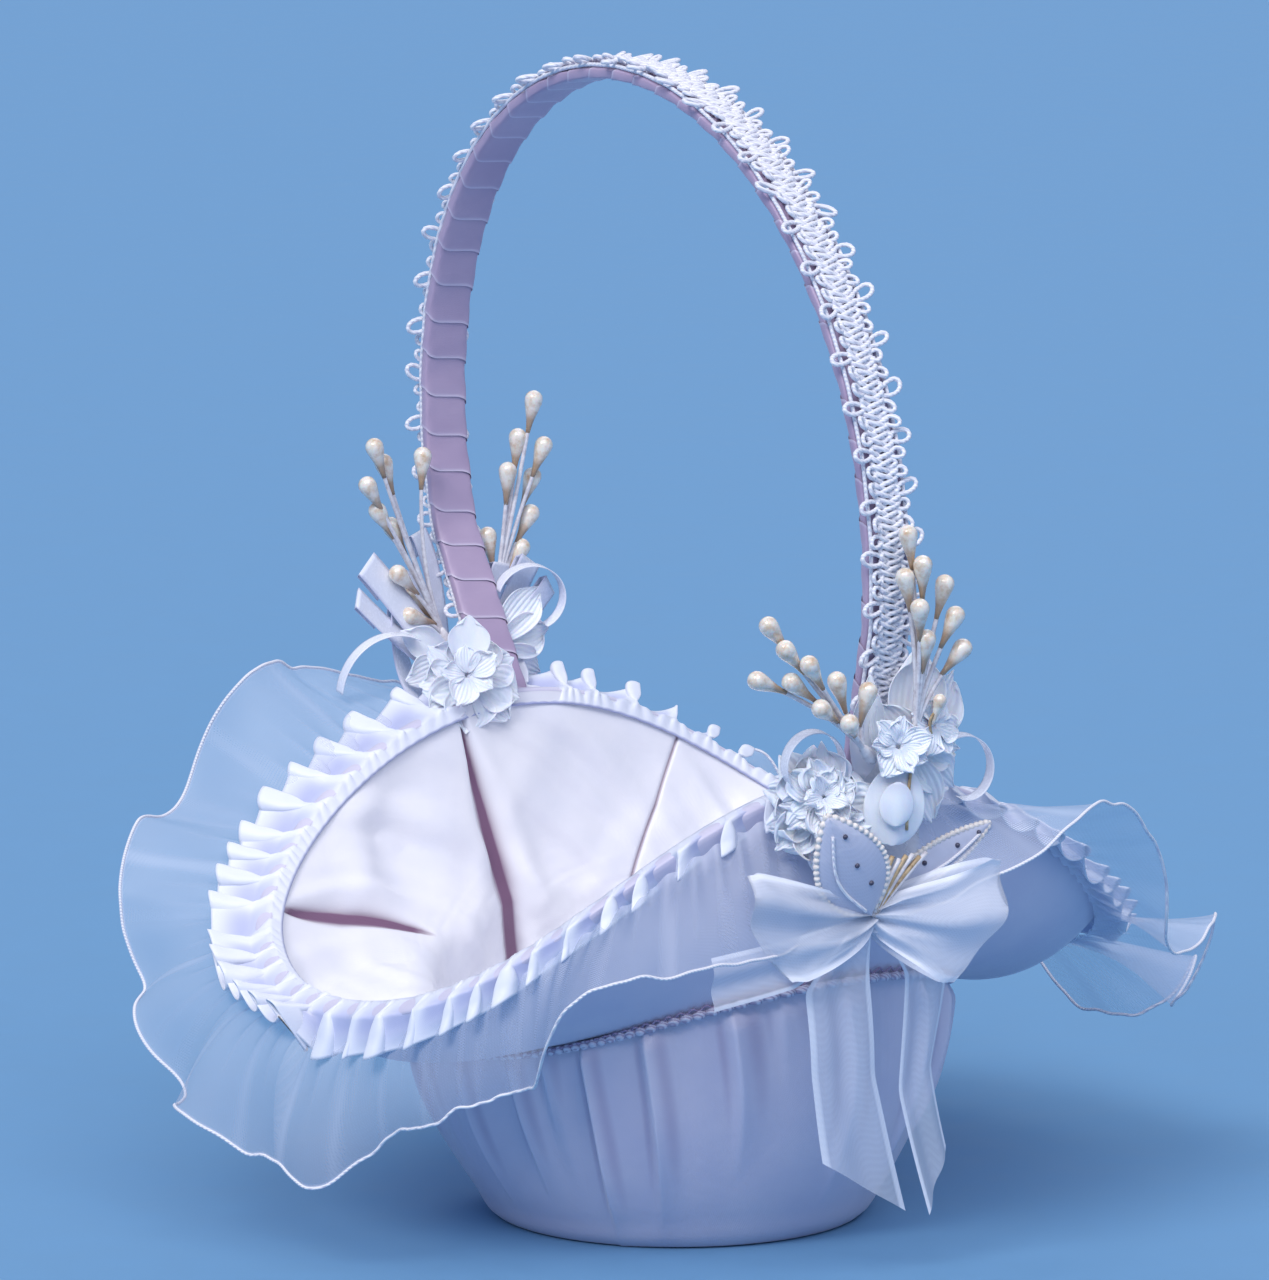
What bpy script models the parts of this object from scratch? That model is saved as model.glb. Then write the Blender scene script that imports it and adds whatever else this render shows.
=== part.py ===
"""Flower girl basket: a satin-covered bowl with a saddle-shaped brim, an arched ribbon-wrapped
handle, two ruffles round the rim, and a cluster of flowers, pearls and ribbon at each foot.

Frame: metres, +Z up, origin at the centre of the base on the floor. The brim droops towards
-X and +X (the wings). The handle arches over in the YZ plane, with a foot at +Y and at -Y.
"""
import math

import bmesh
import bpy
from mathutils import Vector

# ---------------------------------------------------------------- driving dimensions
GAP = 0.0003                    # air between neighbouring pieces

RIM_X1, RIM_X3 = 0.1267, 0.0031  # rim outline along the wings: first and third harmonic
RIM_Y1, RIM_Y3 = 0.0976, 0.0074  # rim outline towards the handle feet
RIM_Z0, RIM_Z2, RIM_Z4 = 0.1029, 0.0339, 0.0026  # rim height: mean, droop, correction

BASE_RADIUS = 0.0540            # where the bowl meets the floor
BOWL_SWELL = 0.0240             # how much wider it is at full height
BOWL_FULL_HEIGHT = 0.0720
SEAM_Z0, SEAM_Z1, SEAM_Z2 = 0.0697, 0.0030, 0.0100  # height of the seam: mean, slope to +X, droop
BRIM_BULGE, WING_BULGE = 0.0015, 0.0065  # convexity of the brim at the feet, extra at the wings

COVER_DEPTH = (0.0, -0.0010)    # layers, measured inwards from the outside of the satin
SHELL_DEPTH = (-0.0013, -0.0030)
PADDING_DEPTH = (-0.0033, -0.0046)
LINING_DEPTH = (-0.0049, -0.0059)
HEM = 0.0036                    # the shell and the padding stop this short of the rim
RIM_WIRE_RADIUS = 0.0012

ARCH_CENTRE_Z = 0.2536
ARCH_R0, ARCH_R2, ARCH_R4, ARCH_R6 = 0.0764, 0.01291, 0.000055, 0.000021
ARCH_LEAN = 0.1104              # sideways lean of the handle per metre of height
ARCH_LEAN_Z = 0.1100
BAND_HALF_WIDTH = 0.0064        # half-inch band
BAND_HALF_THICKNESS = 0.0008
WRAP_THICKNESS = 0.0005
BRAID_THICKNESS = 0.0016
FOOT_OFFSET = 0.0023            # centre of the band, out from the brim cover
FOOT_END_Z = 0.1040
FOOT_BLEND_Z = (0.1400, 0.1750)  # between these heights the arch runs into the foot
BRAID_END_Z = 0.1500
RIVET_Z = 0.1180

SATIN_WIDTH = 0.0180            # from the rim to the outer edge of the folds
SATIN_THICKNESS = 0.0014
FOOT_STEP, FOOT_STEP_BACK = 0.0048, 0.0068  # how far the ruffles step out round the handle feet
ORGANZA_INNER, ORGANZA_OUTER = 0.0170, 0.0250  # the two parts of its width
ORGANZA_THICKNESS = 0.0010
ORGANZA_WAVES = 12
ORGANZA_WAVE_ANGLE = math.radians(24)

PEARL_RADIUS, PEARL_HALF_LENGTH = 0.0023, 0.0043
STEM_RADIUS = 0.0006

BOWL_ROWS = (0.008, 0.06, 0.16, 0.34, 0.62, 1.0)
BRIM_ROWS = (0.25, 0.5, 0.75, 1.0)
SEAM_ROW = len(BOWL_ROWS) - 1
RIM_ROW = SEAM_ROW + len(BRIM_ROWS)
LINING_ROW = 2                  # the lining's wall starts at this row
STATIONS = 36                   # sections round the bowl
DISC_SIDES = 28
PETAL_THICKNESS = 0.0012
CREASE_ANGLE = math.radians(35)  # edges sharper than this stay crisp


# ---------------------------------------------------------------- scene and mesh helpers
def clear_scene():
    """Remove every object that is already in the file."""
    for old in list(bpy.data.objects):
        bpy.data.objects.remove(old, do_unlink=True)


def material(name, colour, roughness, metallic=0.0):
    """A Principled material of one colour."""
    made = bpy.data.materials.new(name)
    made.use_nodes = True
    shader = made.node_tree.nodes["Principled BSDF"]
    shader.inputs["Base Color"].default_value = (*colour, 1.0)
    shader.inputs["Roughness"].default_value = roughness
    shader.inputs["Metallic"].default_value = metallic
    return made


def add_object(name, data, look):
    """Link a new object with its own material."""
    thing = bpy.data.objects.new(name, data)
    bpy.context.scene.collection.objects.link(thing)
    thing.data.materials.clear()
    thing.data.materials.append(material(name, *look))
    return thing


def finish_mesh(name, bm, look):
    """Weld, face outwards and link a bmesh as a named object."""
    bmesh.ops.remove_doubles(bm, verts=bm.verts, dist=0.00001)
    bmesh.ops.recalc_face_normals(bm, faces=bm.faces)
    if bm.calc_volume(signed=True) < 0:
        bmesh.ops.reverse_faces(bm, faces=bm.faces)
    mesh = bpy.data.meshes.new(name)
    bm.to_mesh(mesh)
    bm.free()
    mesh.shade_smooth()
    mesh.set_sharp_from_angle(angle=CREASE_ANGLE)
    return add_object(name, mesh, look)


def ring_solid(name, sections, look, closed_section=True):
    """A solid swept right round. Each section runs along one side of a layer and back along the
    other, and both sides are split along matching diagonals, so that nested layers stay nested."""
    bm = bmesh.new()
    loops = [[bm.verts.new(point) for point in section] for section in sections]
    count = len(loops[0])
    for here, there in zip(loops, loops[1:] + loops[:1]):
        for i in range(count if closed_section else count - 1):
            j = (i + 1) % count
            if i < count // 2:
                bm.faces.new((here[i], here[j], there[j]))
                bm.faces.new((here[i], there[j], there[i]))
            else:
                bm.faces.new((here[i], here[j], there[i]))
                bm.faces.new((here[j], there[j], there[i]))
    return finish_mesh(name, bm, look)


def loft_solid(name, sections, look):
    """A solid swept along an open path, with its two ends filled."""
    bm = bmesh.new()
    loops = [[bm.verts.new(point) for point in section] for section in sections]
    count = len(loops[0])
    for here, there in zip(loops, loops[1:]):
        for i in range(count):
            j = (i + 1) % count
            bm.faces.new((here[i], here[j], there[j], there[i]))
    bm.faces.new(loops[0])
    bm.faces.new(loops[-1])
    return finish_mesh(name, bm, look)


def wire(name, points, radius, look):
    """A closed ring of wire along a poly curve."""
    curve = bpy.data.curves.new(name, "CURVE")
    curve.dimensions = "3D"
    curve.bevel_depth = radius
    curve.bevel_resolution = 1
    spline = curve.splines.new("POLY")
    spline.points.add(len(points) - 1)
    for slot, point in zip(spline.points, points):
        slot.co = (*point, 1.0)
    spline.use_cyclic_u = True
    return add_object(name, curve, look)


def disc(name, radius, low, high, look):
    """A flat round board lying level."""
    bm = bmesh.new()
    made = bmesh.ops.create_cone(bm, cap_ends=True, segments=DISC_SIDES, radius1=radius,
                                 radius2=radius, depth=high - low)
    middle = Vector((0.0, 0.0, (low + high) / 2))
    bmesh.ops.translate(bm, verts=made["verts"], vec=middle)
    return finish_mesh(name, bm, look)


def solidify(thing, thickness):
    """Give an open sheet a thickness, half to each side."""
    skin = thing.modifiers.new("thickness", "SOLIDIFY")
    skin.thickness = thickness
    skin.offset = 0.0
    return thing


def evaluated_mesh(thing):
    """The mesh that an object's modifiers give, as new mesh data."""
    graph = bpy.context.evaluated_depsgraph_get()
    graph.update()
    return bpy.data.meshes.new_from_object(thing.evaluated_get(graph))


def unite(name, first, others, look):
    """One solid from several overlapping ones."""
    for other in others:
        join = first.modifiers.new("join", "BOOLEAN")
        join.operation = "UNION"
        join.solver = "EXACT"
        join.object = other
    mesh = evaluated_mesh(first)
    for used in [first, *others]:
        bpy.data.objects.remove(used, do_unlink=True)
    mesh.name = name
    return add_object(name, mesh, look)


def cut(thing, cutter):
    """Take a cutter's shape out of an object."""
    hole = thing.modifiers.new("hole", "BOOLEAN")
    hole.operation = "DIFFERENCE"
    hole.solver = "EXACT"
    hole.object = cutter


def smoothstep(low, high, value):
    """0 at low, 1 at high, smooth between."""
    t = min(max((value - low) / (high - low), 0.0), 1.0)
    return t * t * (3 - 2 * t)


def mix(a, b, t):
    """The value t of the way from a to b."""
    return a + (b - a) * t


# ---------------------------------------------------------------- shape of bowl and brim
def rim_point(angle):
    """A point of the rim, where the brim ends."""
    x = RIM_X1 * math.cos(angle) - RIM_X3 * math.cos(3 * angle)
    y = RIM_Y1 * math.sin(angle) + RIM_Y3 * math.sin(3 * angle)
    z = RIM_Z0 - RIM_Z2 * math.cos(2 * angle) + RIM_Z4 * math.cos(4 * angle)
    return Vector((x, y, z))


def bowl_radius(z):
    """Outside radius of the gathered satin at height z."""
    share = min(z / BOWL_FULL_HEIGHT, 1.0) ** 0.75
    return BASE_RADIUS + BOWL_SWELL * math.sin(math.pi / 2 * share)


def outer_profile(angle):
    """Outside of the satin in one upright plane, base to rim, as (radius, height) pairs."""
    rim = rim_point(angle)
    turn = math.atan2(rim.y, rim.x)
    seam_z = SEAM_Z0 + SEAM_Z1 * math.cos(turn) - SEAM_Z2 * math.cos(2 * turn)
    rows = [Vector((bowl_radius(f * seam_z), f * seam_z)) for f in BOWL_ROWS]
    seam = rows[-1]
    chord = Vector((math.hypot(rim.x, rim.y), rim.z)) - seam
    outwards = Vector((chord.y, -chord.x)).normalized()
    bulge = BRIM_BULGE + WING_BULGE * math.cos(turn) ** 2
    rows += [seam + chord * s + outwards * bulge * 4 * s * (1 - s) for s in BRIM_ROWS]
    return rows, turn


def profile_normals(rows):
    """Outward normals of a profile, lengthened at corners so that offset layers keep their thickness."""
    sides = [(b - a).normalized() for a, b in zip(rows, rows[1:])]
    flat = [Vector((side.y, -side.x)) for side in sides]
    normals = [flat[0]]
    for before, after in zip(flat, flat[1:]):
        middle = (before + after).normalized()
        normals.append(middle / max(middle.dot(after), 0.6))
    normals.append(flat[-1])
    return normals


def spun(point, turn):
    """Turn a (radius, height) pair into a point of the plane at that angle."""
    return Vector((point.x * math.cos(turn), point.x * math.sin(turn), point.y))


def layer(angle, first, last, depth, trim_start=0.0, trim_end=0.0):
    """Points of one layer's surface in one plane, between two rows."""
    rows, turn = outer_profile(angle)
    normals = profile_normals(rows)
    line = [rows[i] + normals[i] * depth for i in range(first, last + 1)]
    line[0] = line[0] + (line[1] - line[0]).normalized() * trim_start
    line[-1] = line[-1] + (line[-2] - line[-1]).normalized() * trim_end
    return [spun(point, turn) for point in line]


def station_angles(count=STATIONS):
    """Evenly spaced angles round the rim."""
    return [2 * math.pi * i / count for i in range(count)]


def rim_station_angles(count):
    """Even angles with extra ones beside the two handle feet, where the ruffles step round them."""
    beside = [math.radians(a) for a in (3.6, 6.6, 10.0)]
    feet = [math.radians(90), math.radians(270)]
    near = [f + s * b for f in feet for b in beside for s in (-1, 1)] + feet
    even = [a for a in station_angles(count)
            if min(abs(a - f) for f in feet) > math.radians(13)]
    return sorted(even + near)


def skin_layer(name, first, last, depths, look, trim_start=0.0, trim_end=0.0):
    """A closed layer of even thickness right round the basket."""
    sections = []
    for angle in station_angles():
        outside = layer(angle, first, last, depths[0], trim_start, trim_end)
        inside = layer(angle, first, last, depths[1], trim_start, trim_end)
        sections.append(outside + inside[::-1])
    return ring_solid(name, sections, look)


# ---------------------------------------------------------------- looks
SATIN_LOOK = ((0.86, 0.87, 0.93), 0.35)
LINING_LOOK = ((0.92, 0.92, 0.96), 0.35)
SHEER_LOOK = ((0.75, 0.83, 0.95), 0.45)
BOARD_LOOK = ((0.55, 0.47, 0.37), 0.85)
PADDING_LOOK = ((0.90, 0.90, 0.88), 0.95)
STRIP_LOOK = ((0.93, 0.93, 0.94), 0.50)
STEEL_LOOK = ((0.62, 0.62, 0.64), 0.35, 1.0)
WIRE_LOOK = ((0.90, 0.92, 0.96), 0.40)
WRAP_LOOK = ((0.60, 0.52, 0.66), 0.38)
BRAID_LOOK = ((0.90, 0.91, 0.96), 0.60)
PEARL_LOOK = ((0.88, 0.82, 0.74), 0.22)
STAMEN_LOOK = ((0.62, 0.47, 0.28), 0.35)
PETAL_LOOK = ((0.88, 0.90, 0.97), 0.55)


# ---------------------------------------------------------------- bowl
def bottom_cover():
    """The satin-covered flat underside, which stands on the floor."""
    return disc("bottom_cover", 0.0525, 0.0, 0.0012, SATIN_LOOK)


def base_board():
    """The stiff round board in the bottom."""
    return disc("base_board", 0.0505, 0.0015, 0.0035, BOARD_LOOK)


def base_padding():
    """The round pad on the board, under the lining."""
    return disc("base_padding", 0.0495, 0.0038, 0.0074, PADDING_LOOK)


def bowl_shell():
    """The stiff wall of the bowl."""
    return skin_layer("bowl_shell", 0, SEAM_ROW, SHELL_DEPTH, BOARD_LOOK, 0.0, 0.0006)


def outer_cover():
    """The gathered satin round the bowl."""
    return skin_layer("outer_cover", 0, SEAM_ROW, COVER_DEPTH, SATIN_LOOK, 0.0, 0.0006)


def seam_gimp():
    """The narrow trim along the seam between bowl and brim."""
    radius = 0.0012
    away = radius + 0.0005
    line = [layer(a, SEAM_ROW, RIM_ROW, away)[0] for a in station_angles()]
    return wire("seam_gimp", line, radius, BRAID_LOOK)


# ---------------------------------------------------------------- brim and lining
def brim_shell():
    """The stiff flared brim, which rises to the handle feet and droops at the wings."""
    return skin_layer("brim_shell", SEAM_ROW, RIM_ROW, SHELL_DEPTH, BOARD_LOOK, 0.0006, HEM)


def brim_cover():
    """The satin on the underside of the brim."""
    return skin_layer("brim_cover", SEAM_ROW, RIM_ROW, COVER_DEPTH, SATIN_LOOK, 0.0006, 0.0)


def wall_padding():
    """The thin padding between shell and lining."""
    return skin_layer("wall_padding", LINING_ROW, RIM_ROW, PADDING_DEPTH, PADDING_LOOK, 0.0, HEM)


def lining():
    """The satin lining: one cup from the floor of the bowl to the rim."""
    floor_low, floor_high, floor_edge = 0.0078, 0.0088, 0.0500
    sections = []
    for angle in station_angles():
        turn = outer_profile(angle)[1]
        outside = layer(angle, LINING_ROW, RIM_ROW, LINING_DEPTH[0])
        inside = layer(angle, LINING_ROW, RIM_ROW, LINING_DEPTH[1])
        under = [Vector((0, 0, floor_low)), spun(Vector((floor_edge, floor_low)), turn)]
        over = [spun(Vector((floor_edge, floor_high)), turn), Vector((0, 0, floor_high))]
        sections.append(under + outside + inside[::-1] + over)
    return ring_solid("lining", sections, LINING_LOOK, closed_section=False)


def rim_wire():
    """The wire in the hem, which holds the rim's saddle shape."""
    depth = (SHELL_DEPTH[0] + PADDING_DEPTH[1]) / 2
    line = [layer(a, SEAM_ROW, RIM_ROW, depth, 0.0, 0.0019)[-1] for a in station_angles()]
    return wire("rim_wire", line, RIM_WIRE_RADIUS, STEEL_LOOK)


# ---------------------------------------------------------------- ruffles
def rim_frame(angle):
    """The rim's point in its plane, the way up along the brim, and the way out of it."""
    rows, turn = outer_profile(angle)
    along = (rows[-1] - rows[-2]).normalized()
    return rows[-1], along, Vector((along.y, -along.x)), turn


def beside_foot(x):
    """1 where a ruffle has to pass outside a handle foot, 0 away from it."""
    return 1.0 - smoothstep(0.0084, 0.0152, abs(x))


def pressed_front(rim):
    """1 where the front cluster presses the ruffles against the brim."""
    if rim.y > 0:
        return 0.0
    return (1 - smoothstep(0.048, 0.072, rim.x)) * smoothstep(-0.090, -0.064, rim.x)


def pressed_back(rim):
    """1 where the back cluster presses the ruffles down."""
    if rim.y < 0:
        return 0.0
    return 1 - smoothstep(0.034, 0.056, abs(rim.x))


def satin_slope(angle):
    """How steeply the satin ruffle leaves the rim, from the horizontal."""
    near_left = math.exp(-((math.degrees(angle) - 212) / 25) ** 2)
    free = -5 + 42 * math.sin(angle) + 10 * math.cos(angle) - 25 * near_left
    rim = rim_point(angle)
    free = mix(free, -87, pressed_front(rim))
    return math.radians(mix(free, -30, pressed_back(rim)))


def slope_vector(slope):
    """Direction and upper side of a strip that leaves at a slope, as (radius, height) pairs."""
    return Vector((math.cos(slope), math.sin(slope))), Vector((-math.sin(slope), math.cos(slope)))


def satin_ruffle():
    """The folded satin ruffle: a heading over the rim, then the folds."""
    sections = []
    for angle in rim_station_angles(48):
        rim, up, out, turn = rim_frame(angle)
        place = rim_point(angle)
        step = beside_foot(place.x)
        round_foot = FOOT_STEP if place.y < 0 else FOOT_STEP_BACK
        inner = mix(-0.0054, round_foot, step)
        outer = mix(0.0003 + 0.0030 * pressed_front(place), round_foot + 0.0030, step)
        away, over = slope_vector(satin_slope(angle))
        a_low = rim + up * 0.0005 + out * inner
        b_low = rim + up * 0.0005 + out * outer
        c_low = b_low + away * SATIN_WIDTH
        corner = (up + over).normalized() * SATIN_THICKNESS * 1.1
        line = [a_low, b_low, c_low, c_low + over * SATIN_THICKNESS, b_low + corner,
                a_low + up * SATIN_THICKNESS]
        sections.append([spun(point, turn) for point in line])
    return ring_solid("satin_ruffle", sections, SATIN_LOOK)


def organza_line(angle):
    """Lower side of the organza ruffle in one plane, with its upper side's directions."""
    rim, up, out, turn = rim_frame(angle)
    place = rim_point(angle)
    press = pressed_front(place)
    root = rim - up * 0.0032 + out * mix(0.0014, FOOT_STEP + 0.0020, beside_foot(place.x))
    first = mix(satin_slope(angle) - math.radians(7), math.radians(-89), press)
    calm = max(press, pressed_back(place))
    wave = math.sin(ORGANZA_WAVES * angle) * ORGANZA_WAVE_ANGLE * (1 - calm)
    free = math.radians(-14 + 35 * math.sin(angle)) + wave
    second = mix(mix(free, math.radians(-87), press), math.radians(-36), pressed_back(place))
    away_1, over_1 = slope_vector(first)
    away_2, over_2 = slope_vector(second)
    bend = root + away_1 * ORGANZA_INNER
    middle = bend + (away_1 + away_2).normalized() * ORGANZA_OUTER / 2
    edge = middle + away_2 * ORGANZA_OUTER / 2
    return [root, bend, middle, edge], [over_1, over_1, (over_1 + over_2).normalized(), over_2], turn


def organza_ruffle():
    """The wide sheer ruffle under the satin one."""
    sections = []
    for angle in rim_station_angles(60):
        low, over, turn = organza_line(angle)
        high = [p + o * ORGANZA_THICKNESS for p, o in zip(low, over)]
        sections.append([spun(point, turn) for point in low + high[::-1]])
    return ring_solid("organza_ruffle", sections, SHEER_LOOK)


def ruffle_edge_wire():
    """The fine wire along the free edge of the organza."""
    radius = 0.0005
    line = []
    for angle in rim_station_angles(60):
        low, over, turn = organza_line(angle)
        outwards = (low[3] - low[2]).normalized()
        centre = low[3] + over[3] * ORGANZA_THICKNESS / 2 + outwards * (radius + GAP + 0.0001)
        line.append(spun(centre, turn))
    return wire("ruffle_edge_wire", line, radius, WIRE_LOOK)


# ---------------------------------------------------------------- handle
def foot_y(z):
    """Outside of the brim cover at the handle feet, carried on above the rim."""
    rows = outer_profile(math.pi / 2)[0][SEAM_ROW:]
    for low, high in zip(rows, rows[1:]):
        if z <= high.y:
            break
    return low.x + (high.x - low.x) * (z - low.y) / (high.y - low.y)


def half_arch(side):
    """Centre line of the band from the top to one foot, as (y, z) pairs."""
    line = []
    steps = 15
    for i in range(steps):
        phi = 2.46 * i / (steps - 1)
        radius = ARCH_R0 + ARCH_R2 * phi ** 2 - ARCH_R4 * phi ** 4 - ARCH_R6 * phi ** 6
        z = ARCH_CENTRE_Z + radius * math.cos(phi)
        y = side * radius * math.sin(phi) + ARCH_LEAN * (z - ARCH_LEAN_Z)
        settle = 1 - smoothstep(*FOOT_BLEND_Z, z)
        line.append(Vector((mix(y, side * (foot_y(z) + FOOT_OFFSET), settle), z)))
    low = line[-1].y
    for share in (0.3, 0.65, 1.0):
        z = mix(low, FOOT_END_Z, share)
        line.append(Vector((side * (foot_y(z) + FOOT_OFFSET), z)))
    return line


def handle_line():
    """Centre line of the whole band, back foot to front foot, with outward normals."""
    line = half_arch(1)[::-1] + half_arch(-1)[1:]
    normals = []
    for i in range(len(line)):
        ahead = line[min(i + 1, len(line) - 1)] - line[max(i - 1, 0)]
        normals.append(Vector((-ahead.y, ahead.x)).normalized() * -1)
    return line, normals


def band_corners(point, normal, half_width, low, high):
    """The four corners of a flat band's section."""
    inside = point + normal * low
    outside = point + normal * high
    return [Vector((-half_width, *inside)), Vector((half_width, *inside)),
            Vector((half_width, *outside)), Vector((-half_width, *outside))]


def handle_core():
    """The springy flat strip that carries the handle."""
    line, normals = handle_line()
    t = BAND_HALF_THICKNESS
    sections = [band_corners(p, n, BAND_HALF_WIDTH, -t, t) for p, n in zip(line, normals)]
    return loft_solid("handle_core", sections, STRIP_LOOK)


def handle_wrap():
    """The satin ribbon wound round the strip, as a sleeve open at its two ends."""
    line, normals = handle_line()
    line[0] = line[0] + (line[1] - line[0]).normalized() * 0.002
    line[-1] = line[-1] + (line[-2] - line[-1]).normalized() * 0.002
    near = BAND_HALF_THICKNESS + GAP
    far = near + WRAP_THICKNESS
    extra = far - BAND_HALF_THICKNESS
    outer = [band_corners(p, n, BAND_HALF_WIDTH + extra, -far, far) for p, n in zip(line, normals)]
    inner = [band_corners(p, n, BAND_HALF_WIDTH + GAP, -near, near) for p, n in zip(line, normals)]
    strips = []
    for corner in range(4):
        there = [section[corner] for section in outer]
        back = [section[corner] for section in inner[::-1]]
        strips.append(there + back)
    return ring_solid("handle_wrap", strips, WRAP_LOOK)


def handle_braid():
    """The looped braid along the outside of the band."""
    low = BAND_HALF_THICKNESS + GAP + WRAP_THICKNESS + GAP
    line, normals = handle_line()
    above = [i for i, point in enumerate(line) if point.y > BRAID_END_Z]
    sections = []
    for i in above:
        width = BAND_HALF_WIDTH + (0.0010 if i % 2 else -0.0002)
        sections.append(band_corners(line[i], normals[i], width, low, low + BRAID_THICKNESS))
    return loft_solid("handle_braid", sections, BRAID_LOOK)


def turned_along(name, profile, start, direction, look, segments=12):
    """A turned piece: (distance, radius) pairs along an axis."""
    bm = bmesh.new()
    axis = direction.normalized()
    turn = axis.to_track_quat("Z", "X")
    loops = []
    for distance, radius in profile:
        loop = []
        for k in range(segments):
            a = 2 * math.pi * k / segments
            local = Vector((radius * math.cos(a), radius * math.sin(a), distance))
            loop.append(bm.verts.new(start + turn @ local))
        loops.append(loop)
    for here, there in zip(loops, loops[1:]):
        for k in range(segments):
            m = (k + 1) % segments
            bm.faces.new((here[k], here[m], there[m], there[k]))
    bm.faces.new(loops[0])
    bm.faces.new(loops[-1])
    return finish_mesh(name, bm, look)


def rivet_axis(side):
    """Where a rivet's axis leaves the brim cover, and the way out."""
    slope = (foot_y(RIVET_Z + 0.004) - foot_y(RIVET_Z - 0.004)) / 0.008
    outwards = Vector((0.0, side, -slope)).normalized()
    return Vector((0.0, side * foot_y(RIVET_Z), RIVET_Z)), outwards


def handle_rivet(name, side):
    """A rivet through band, cover and brim shell."""
    start, outwards = rivet_axis(side)
    tail, head = -0.0043, FOOT_OFFSET + BAND_HALF_THICKNESS + GAP + WRAP_THICKNESS + GAP
    profile = [(tail, 0.0036), (-0.0033, 0.0036), (-0.0033, 0.0014), (head, 0.0014),
               (head, 0.0034), (head + 0.0005, 0.0030), (head + 0.0009, 0.0018)]
    return turned_along(name, profile, start, outwards, STEEL_LOOK)


def rivet_hole(side):
    """Cutter for a rivet's hole: wide in the padding, narrow further out."""
    start, outwards = rivet_axis(side)
    profile = [(-0.0048, 0.0041), (-0.0031, 0.0041), (-0.0031, 0.0018), (0.0080, 0.0018)]
    cutter = turned_along("rivet_hole", profile, start, outwards, STEEL_LOOK)
    cutter.hide_render = True
    cutter.display_type = "WIRE"
    return cutter


# ---------------------------------------------------------------- trim pieces
def blossom(name, centre, radius, dome, petals, facing):
    """A scalloped round flower, domed towards the way it faces (a unit vector along Y)."""
    bm = bmesh.new()
    around = petals * 4
    middle = bm.verts.new(centre + Vector((0, facing * dome, 0)))
    loops = []
    for share in (0.5, 1.0):
        loop = []
        for k in range(around):
            a = 2 * math.pi * k / around
            reach = radius * share * (1 - 0.12 * share * math.cos(petals * a))
            lift = facing * dome * (1 - share ** 2)
            local = Vector((reach * math.cos(a), lift, reach * math.sin(a)))
            loop.append(bm.verts.new(centre + local))
        loops.append(loop)
    for k in range(around):
        m = (k + 1) % around
        bm.faces.new((middle, loops[0][k], loops[0][m]))
        bm.faces.new((loops[0][k], loops[1][k], loops[1][m], loops[0][m]))
    mesh = bpy.data.meshes.new(name)
    bmesh.ops.recalc_face_normals(bm, faces=bm.faces)
    bm.to_mesh(mesh)
    bm.free()
    return solidify(add_object(name, mesh, PETAL_LOOK), PETAL_THICKNESS)


def plate(name, outline, y, look, thickness=0.0008):
    """A thin piece cut to an outline of (x, z) points and standing at one y."""
    bm = bmesh.new()
    bm.faces.new([bm.verts.new((x, y, z)) for x, z in outline])
    mesh = bpy.data.meshes.new(name)
    bm.to_mesh(mesh)
    bm.free()
    return solidify(add_object(name, mesh, look), thickness)


def leaf_outline(base, tip, width, steps=7):
    """A pointed leaf from base to tip, as (x, z) points."""
    root = Vector(base)
    along = Vector(tip) - root
    across = Vector((-along.y, along.x)).normalized() * width / 2
    shares = [i / steps for i in range(1, steps)]
    one = [root + along * s + across * math.sin(math.pi * s ** 0.85) for s in shares]
    other = [root + along * s - across * math.sin(math.pi * s ** 0.85) for s in shares]
    return [tuple(root), *map(tuple, one), tuple(root + along), *map(tuple, other[::-1])]


def ellipse_outline(centre, half_x, half_z, count=20):
    """An ellipse of (x, z) points."""
    angles = [2 * math.pi * k / count for k in range(count)]
    return [(centre[0] + half_x * math.cos(a), centre[1] + half_z * math.sin(a)) for a in angles]


def pearl(place, direction):
    """A drop-shaped bead with its point down the stem."""
    length = PEARL_HALF_LENGTH
    profile = [(-length, 0.0007), (0.2 * length, PEARL_RADIUS), (0.7 * length, 0.78 * PEARL_RADIUS),
               (length, 0.3 * PEARL_RADIUS)]
    return turned_along("bead", profile, place, direction, PEARL_LOOK, segments=6)


def stem(start, end, lean):
    """A thin bent wire from start to end, leaning by a sideways amount half way."""
    middle = (start + end) / 2 + lean
    line = []
    for t in (0.0, 0.5, 1.0):
        line.append(start * (1 - t) ** 2 + middle * 2 * t * (1 - t) + end * t ** 2)
    sections = []
    for i, point in enumerate(line):
        ahead = (line[min(i + 1, 2)] - line[max(i - 1, 0)]).normalized()
        turn = ahead.to_track_quat("Z", "X")
        corners = [2 * math.pi * k / 4 for k in range(4)]
        ring = [Vector((STEM_RADIUS * math.cos(a), STEM_RADIUS * math.sin(a), 0)) for a in corners]
        sections.append([point + turn @ corner for corner in ring])
    made = loft_solid("stem", sections, PEARL_LOOK)
    return made, (line[2] - line[1]).normalized()


def pearl_spray(name, base, tips):
    """Drop pearls on thin stems that meet in one bound base."""
    root = Vector(base)
    spread = Vector((0, 0, 0))
    for tip in tips:
        spread += Vector(tip) - root
    bound = spread.normalized()
    profile = [(-0.003, 0.0006), (-0.001, 0.0016), (0.003, 0.0017), (0.006, 0.0006)]
    first = turned_along("bound", profile, root, bound, PEARL_LOOK, segments=6)
    others = []
    for tip in tips:
        end = Vector(tip)
        stalk, direction = stem(root, end, bound * 0.004)
        others += [stalk, pearl(end + direction * 0.5 * PEARL_HALF_LENGTH, direction)]
    return unite(name, first, others, PEARL_LOOK)


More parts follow.
